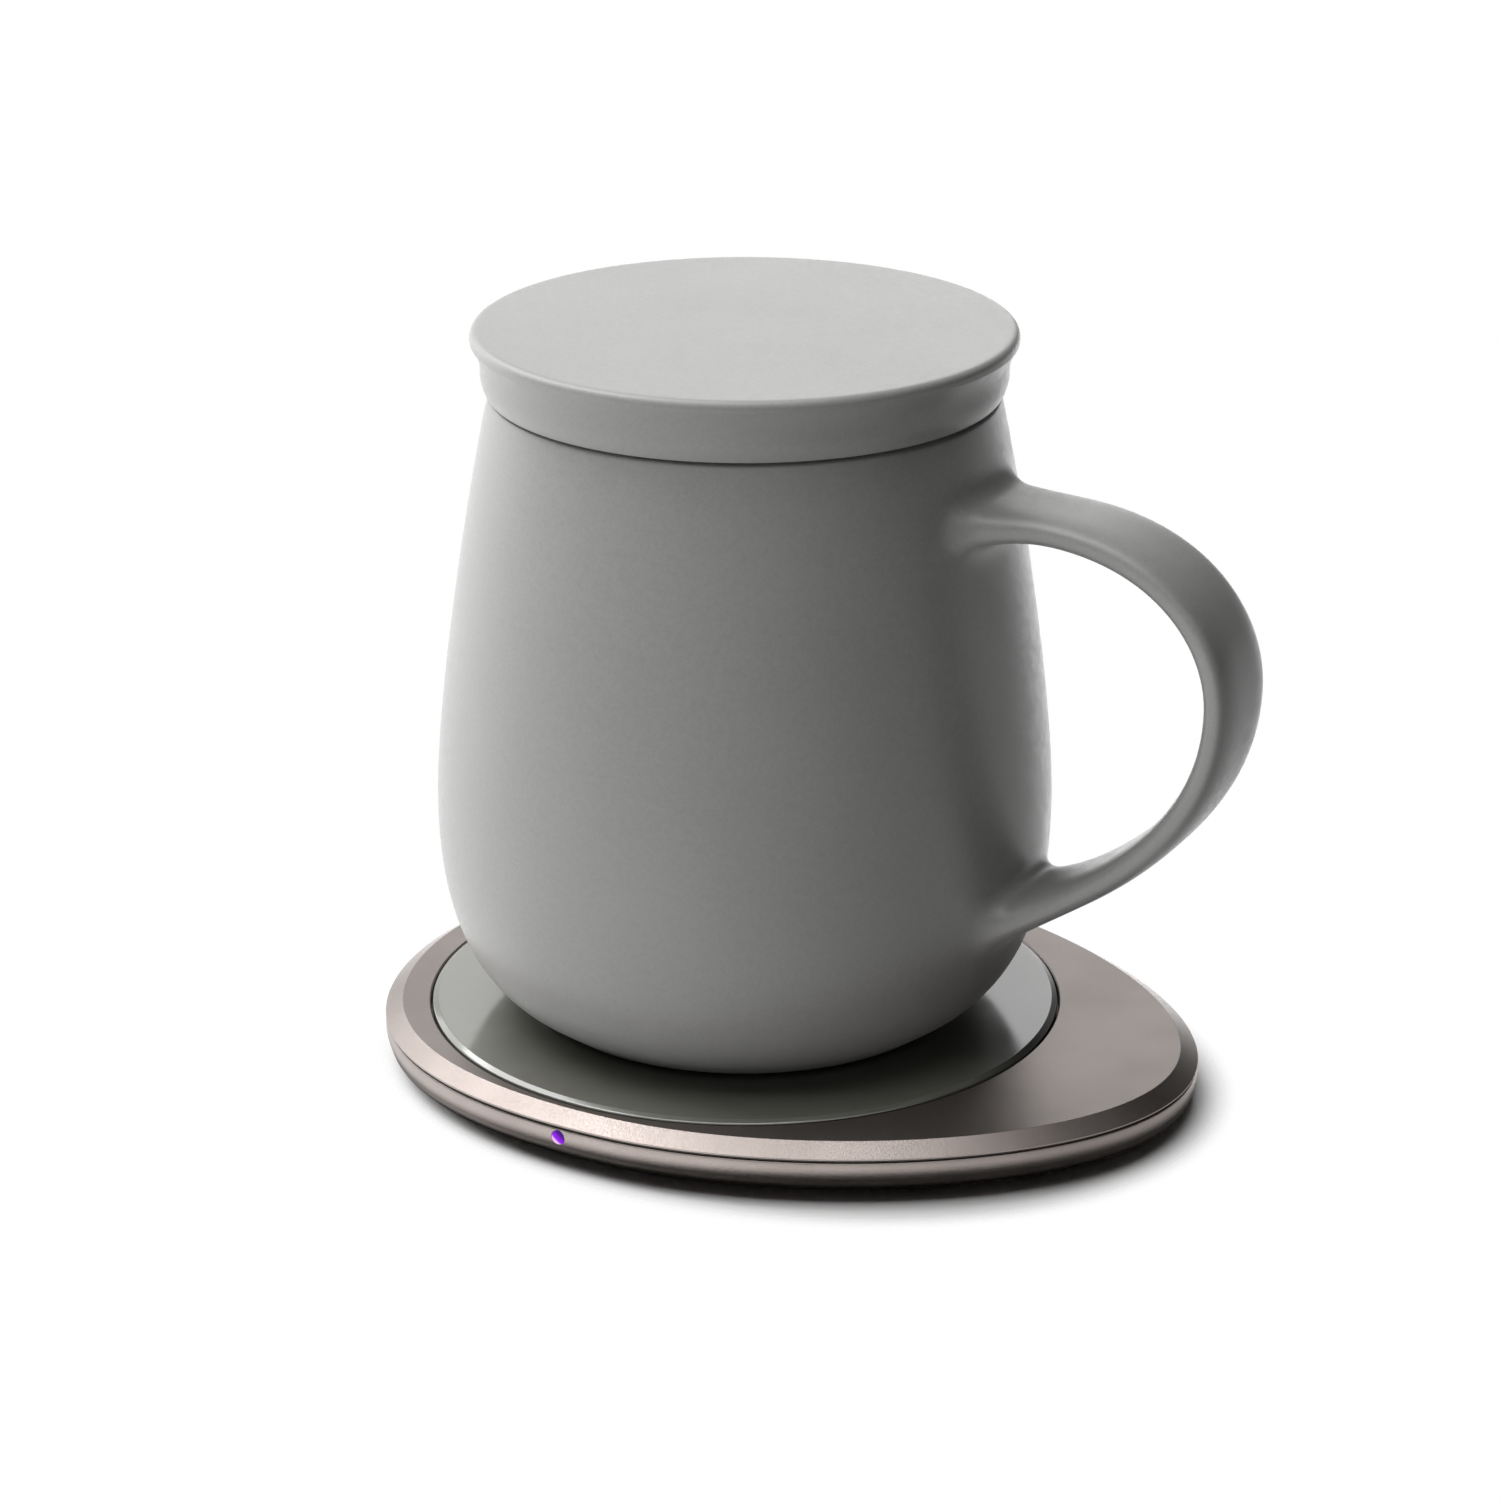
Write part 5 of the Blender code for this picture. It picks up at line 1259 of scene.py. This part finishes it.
def make_softbox(name, place, aim, width, height, power):
    """A soft lamp at a place, turned towards another."""
    bpy.ops.object.light_add(type="AREA", location=turned_place(place))
    lamp = bpy.context.active_object
    lamp.name = name
    facing = (Vector(aim) - Vector(place)).to_track_quat("-Z", "Y").to_matrix()
    lamp.rotation_euler = (Matrix.Rotation(STUDIO_TURN, 3, "Z") @ facing).to_euler()
    lamp.data.shape = "RECTANGLE"
    lamp.data.size = width
    lamp.data.size_y = height
    lamp.data.energy = power
    lamp.visible_camera = False


def make_world():
    """White to the camera, a lit room of walls and tables in reflections, and otherwise a soft
    light from the left."""
    world = bpy.data.worlds.new("studio")
    bpy.context.scene.world = world
    sky = Finish(world)
    way = sky.add("ShaderNodeTexCoord", output="Generated")
    x, y, up = sky.split(way)
    away = math.cos(STUDIO_TURN) * y - math.sin(STUDIO_TURN) * x
    right = math.cos(STUDIO_TURN) * x + math.sin(STUDIO_TURN) * y
    high = sky.spread(up, -0.05, 0.05)
    wall = sky.spread(away - 0.9 * up, 0.0, 0.6, 0.0, 2.1)
    wall = wall * sky.spread(right, -0.3, 0.2, 0.5, 1.0) * sky.spread(right, 0.15, 0.4, 1.0, 0.1)
    table = sky.spread(right, -0.6, 0.9, 2.5, 1.1) * sky.spread(away, 0.2, 0.9, 1.0, 0.7)
    beyond = sky.spread(away + 0.3 * right, 0.85, 0.98, 0.0, 1.5)
    low = sky.spread(up, -0.85, -0.45, 0.55, 1.0) * sky.spread(up, -0.06, 0.02, 1.0, 0.0)
    front = sky.spread(-1.0 * away, 0.2, 0.6, 0.0, 1.2) * sky.spread(up, 0.12, 0.3)
    room = high * wall + low * (table + beyond) + front + sky.spread(up, 0.7, 0.95, 0.0, 0.4)
    lit = sky.spread(-1.0 * right, -0.3, 1.0, 0.0, 1.24)
    lit_front = sky.spread(-0.7 * right - 0.7 * away, 0.0, 1.0, 0.0, 0.45)
    ambient = (1 - high) * (lit + lit_front)
    seen = sky.add("ShaderNodeLightPath", output="Is Camera Ray")
    glossy = sky.add("ShaderNodeLightPath", output="Is Glossy Ray")
    through = sky.add("ShaderNodeLightPath", output="Is Transmission Ray")
    shiny = glossy + through
    level = seen + (1 - seen) * (shiny * room + (1 - shiny) * ambient)
    background = sky.tree.nodes["Background"]
    background.inputs["Color"].default_value = (1, 1, 1, 1)
    sky.join(level, background.inputs["Strength"])


def make_floor():
    """A white floor that keeps the shadow under the pad and fades out into the white world."""
    bpy.ops.mesh.primitive_circle_add(
        vertices=FLOOR_SIDES, radius=FLOOR_RADIUS, fill_type="NGON"
    )
    floor = bpy.context.active_object
    floor.name = "floor"
    finish = Finish(bpy.data.materials.new("white_floor"))
    tree = finish.tree
    tree.nodes.remove(tree.nodes["Principled BSDF"])
    half_length, middle = (NOSE_REACH + TAIL_REACH) / 2, (NOSE_REACH - TAIL_REACH) / 2
    away = finish.place()
    for operation, other in (
        ("ADD", (-middle, 0, 0)), ("MULTIPLY", (1 / half_length, 1 / SIDE_REACH, 0)),
    ):
        sockets = {0: away, 1: other}
        away = finish.add("ShaderNodeVectorMath", {"operation": operation}, sockets)
    away = finish.add("ShaderNodeVectorMath", {"operation": "LENGTH"}, {0: away}, 1)
    seen = finish.add("ShaderNodeLightPath", output="Is Camera Ray")
    glossy = finish.add("ShaderNodeLightPath", output="Is Glossy Ray")
    # Where the floor fades for each kind of ray, as shares of the pad's reach
    near, far = finish.spread(away, 0.965, 1.09), finish.spread(away, 1.04, 1.3)
    mirrored = finish.spread(away, 1.035, 1.12)
    fade = seen * near + glossy * mirrored + (1 - seen - glossy) * far
    white = finish.add("ShaderNodeBsdfDiffuse", None, {"Color": (0.9, 0.9, 0.9, 1)})
    # Reflections see a near-black copy of the floor: painted shade for the dark contact zone that
    # the pad's lower curl mirrors.
    painted_shade = finish.add("ShaderNodeBsdfDiffuse", None, {"Color": (0.03, 0.03, 0.03, 1)})
    ground = finish.add("ShaderNodeMixShader", None, {0: glossy, 1: white, 2: painted_shade})
    clear = finish.add("ShaderNodeBsdfTransparent")
    surface = finish.add("ShaderNodeMixShader", None, {0: fade, 1: ground, 2: clear})
    finish.join(surface, tree.nodes["Material Output"].inputs["Surface"])
    floor.data.materials.append(finish.owner)


def dress_nodes():
    """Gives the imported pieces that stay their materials, by the record's slot."""
    slots = {piece["node"]: piece["material_slot"] for piece in frame["record"]["subparts"]}
    for name, node in frame["nodes"].items():
        node.data.materials.clear()
        node.data.materials.append(finishes[slots[name]])


# Two tones, a roughness range and, for the cloth, a broader and deeper grain
MOULDED = {
    "dark_plastic": ((0.030,) * 3, (0.040,) * 3, 0.5, 0.65),
    "silicone": ((0.018,) * 3, (0.026,) * 3, 0.7, 0.85),
    "ferrite": ((0.07, 0.07, 0.08), (0.10, 0.10, 0.11), 0.5, 0.7),
    "board": ((0.012, 0.09, 0.05), (0.02, 0.13, 0.075), 0.3, 0.45),
    "chip": ((0.015,) * 3, (0.022,) * 3, 0.4, 0.55),
    "sensor": ((0.16, 0.08, 0.02), (0.22, 0.11, 0.03), 0.25, 0.4),
    "insulation": ((0.68, 0.66, 0.60), (0.80, 0.78, 0.72), 0.85, 0.98, 900, 0.1),
    "heater": ((0.74, 0.72, 0.66), (0.82, 0.80, 0.74), 0.35, 0.5),
    "thermal_pad": ((0.30, 0.40, 0.50), (0.36, 0.46, 0.56), 0.7, 0.85),
    "gasket_rubber": ((0.075, 0.068, 0.060), (0.100, 0.090, 0.080), 0.6, 0.75),
}
finishes = {name: moulded(name, *values) for name, values in MOULDED.items()}
finishes |= {
    "ceramic": satin_glaze(),
    "pad_metal": blasted_metal(),
    "plate_glass": dark_glass(),
    "copper": bright_metal("copper", (0.70, 0.30, 0.14), (0.80, 0.42, 0.22), 0.25, 0.4),
    "steel": bright_metal("steel", (0.52, 0.52, 0.53), (0.66, 0.66, 0.67), 0.22, 0.36),
    "light": lit_window(),
    "contact_plastic": contact_plastic(),
}

make_camera()
make_world()
make_floor()
make_softbox("overhead", (-0.28, -0.12, 0.95), (-0.28, -0.12, 0), 0.95, 0.65, 6.1)
make_softbox("left_behind", (-0.85, 0.65, 0.45), (0, 0, 0.05), 0.9, 0.8, 4.0)
make_softbox("high_left", (-0.54, 0.42, 0.92), (0, 0, 0.05), 0.8, 0.8, 8.8)
dress_nodes()
make_mug_body()
make_foot()
make_lid()
make_plate()
make_top_shell()
make_base()
make_gasket()
make_mat()
make_window()
make_inlet()
make_coil("wound_coil", "transmitter_coil", SENDING_COIL_RADIUS, "pad")
make_coil("wound_receiver_coil", "receiver_coil", RECEIVING_COIL_RADIUS, "mug")

bpy.context.scene.view_settings.view_transform = "Standard"
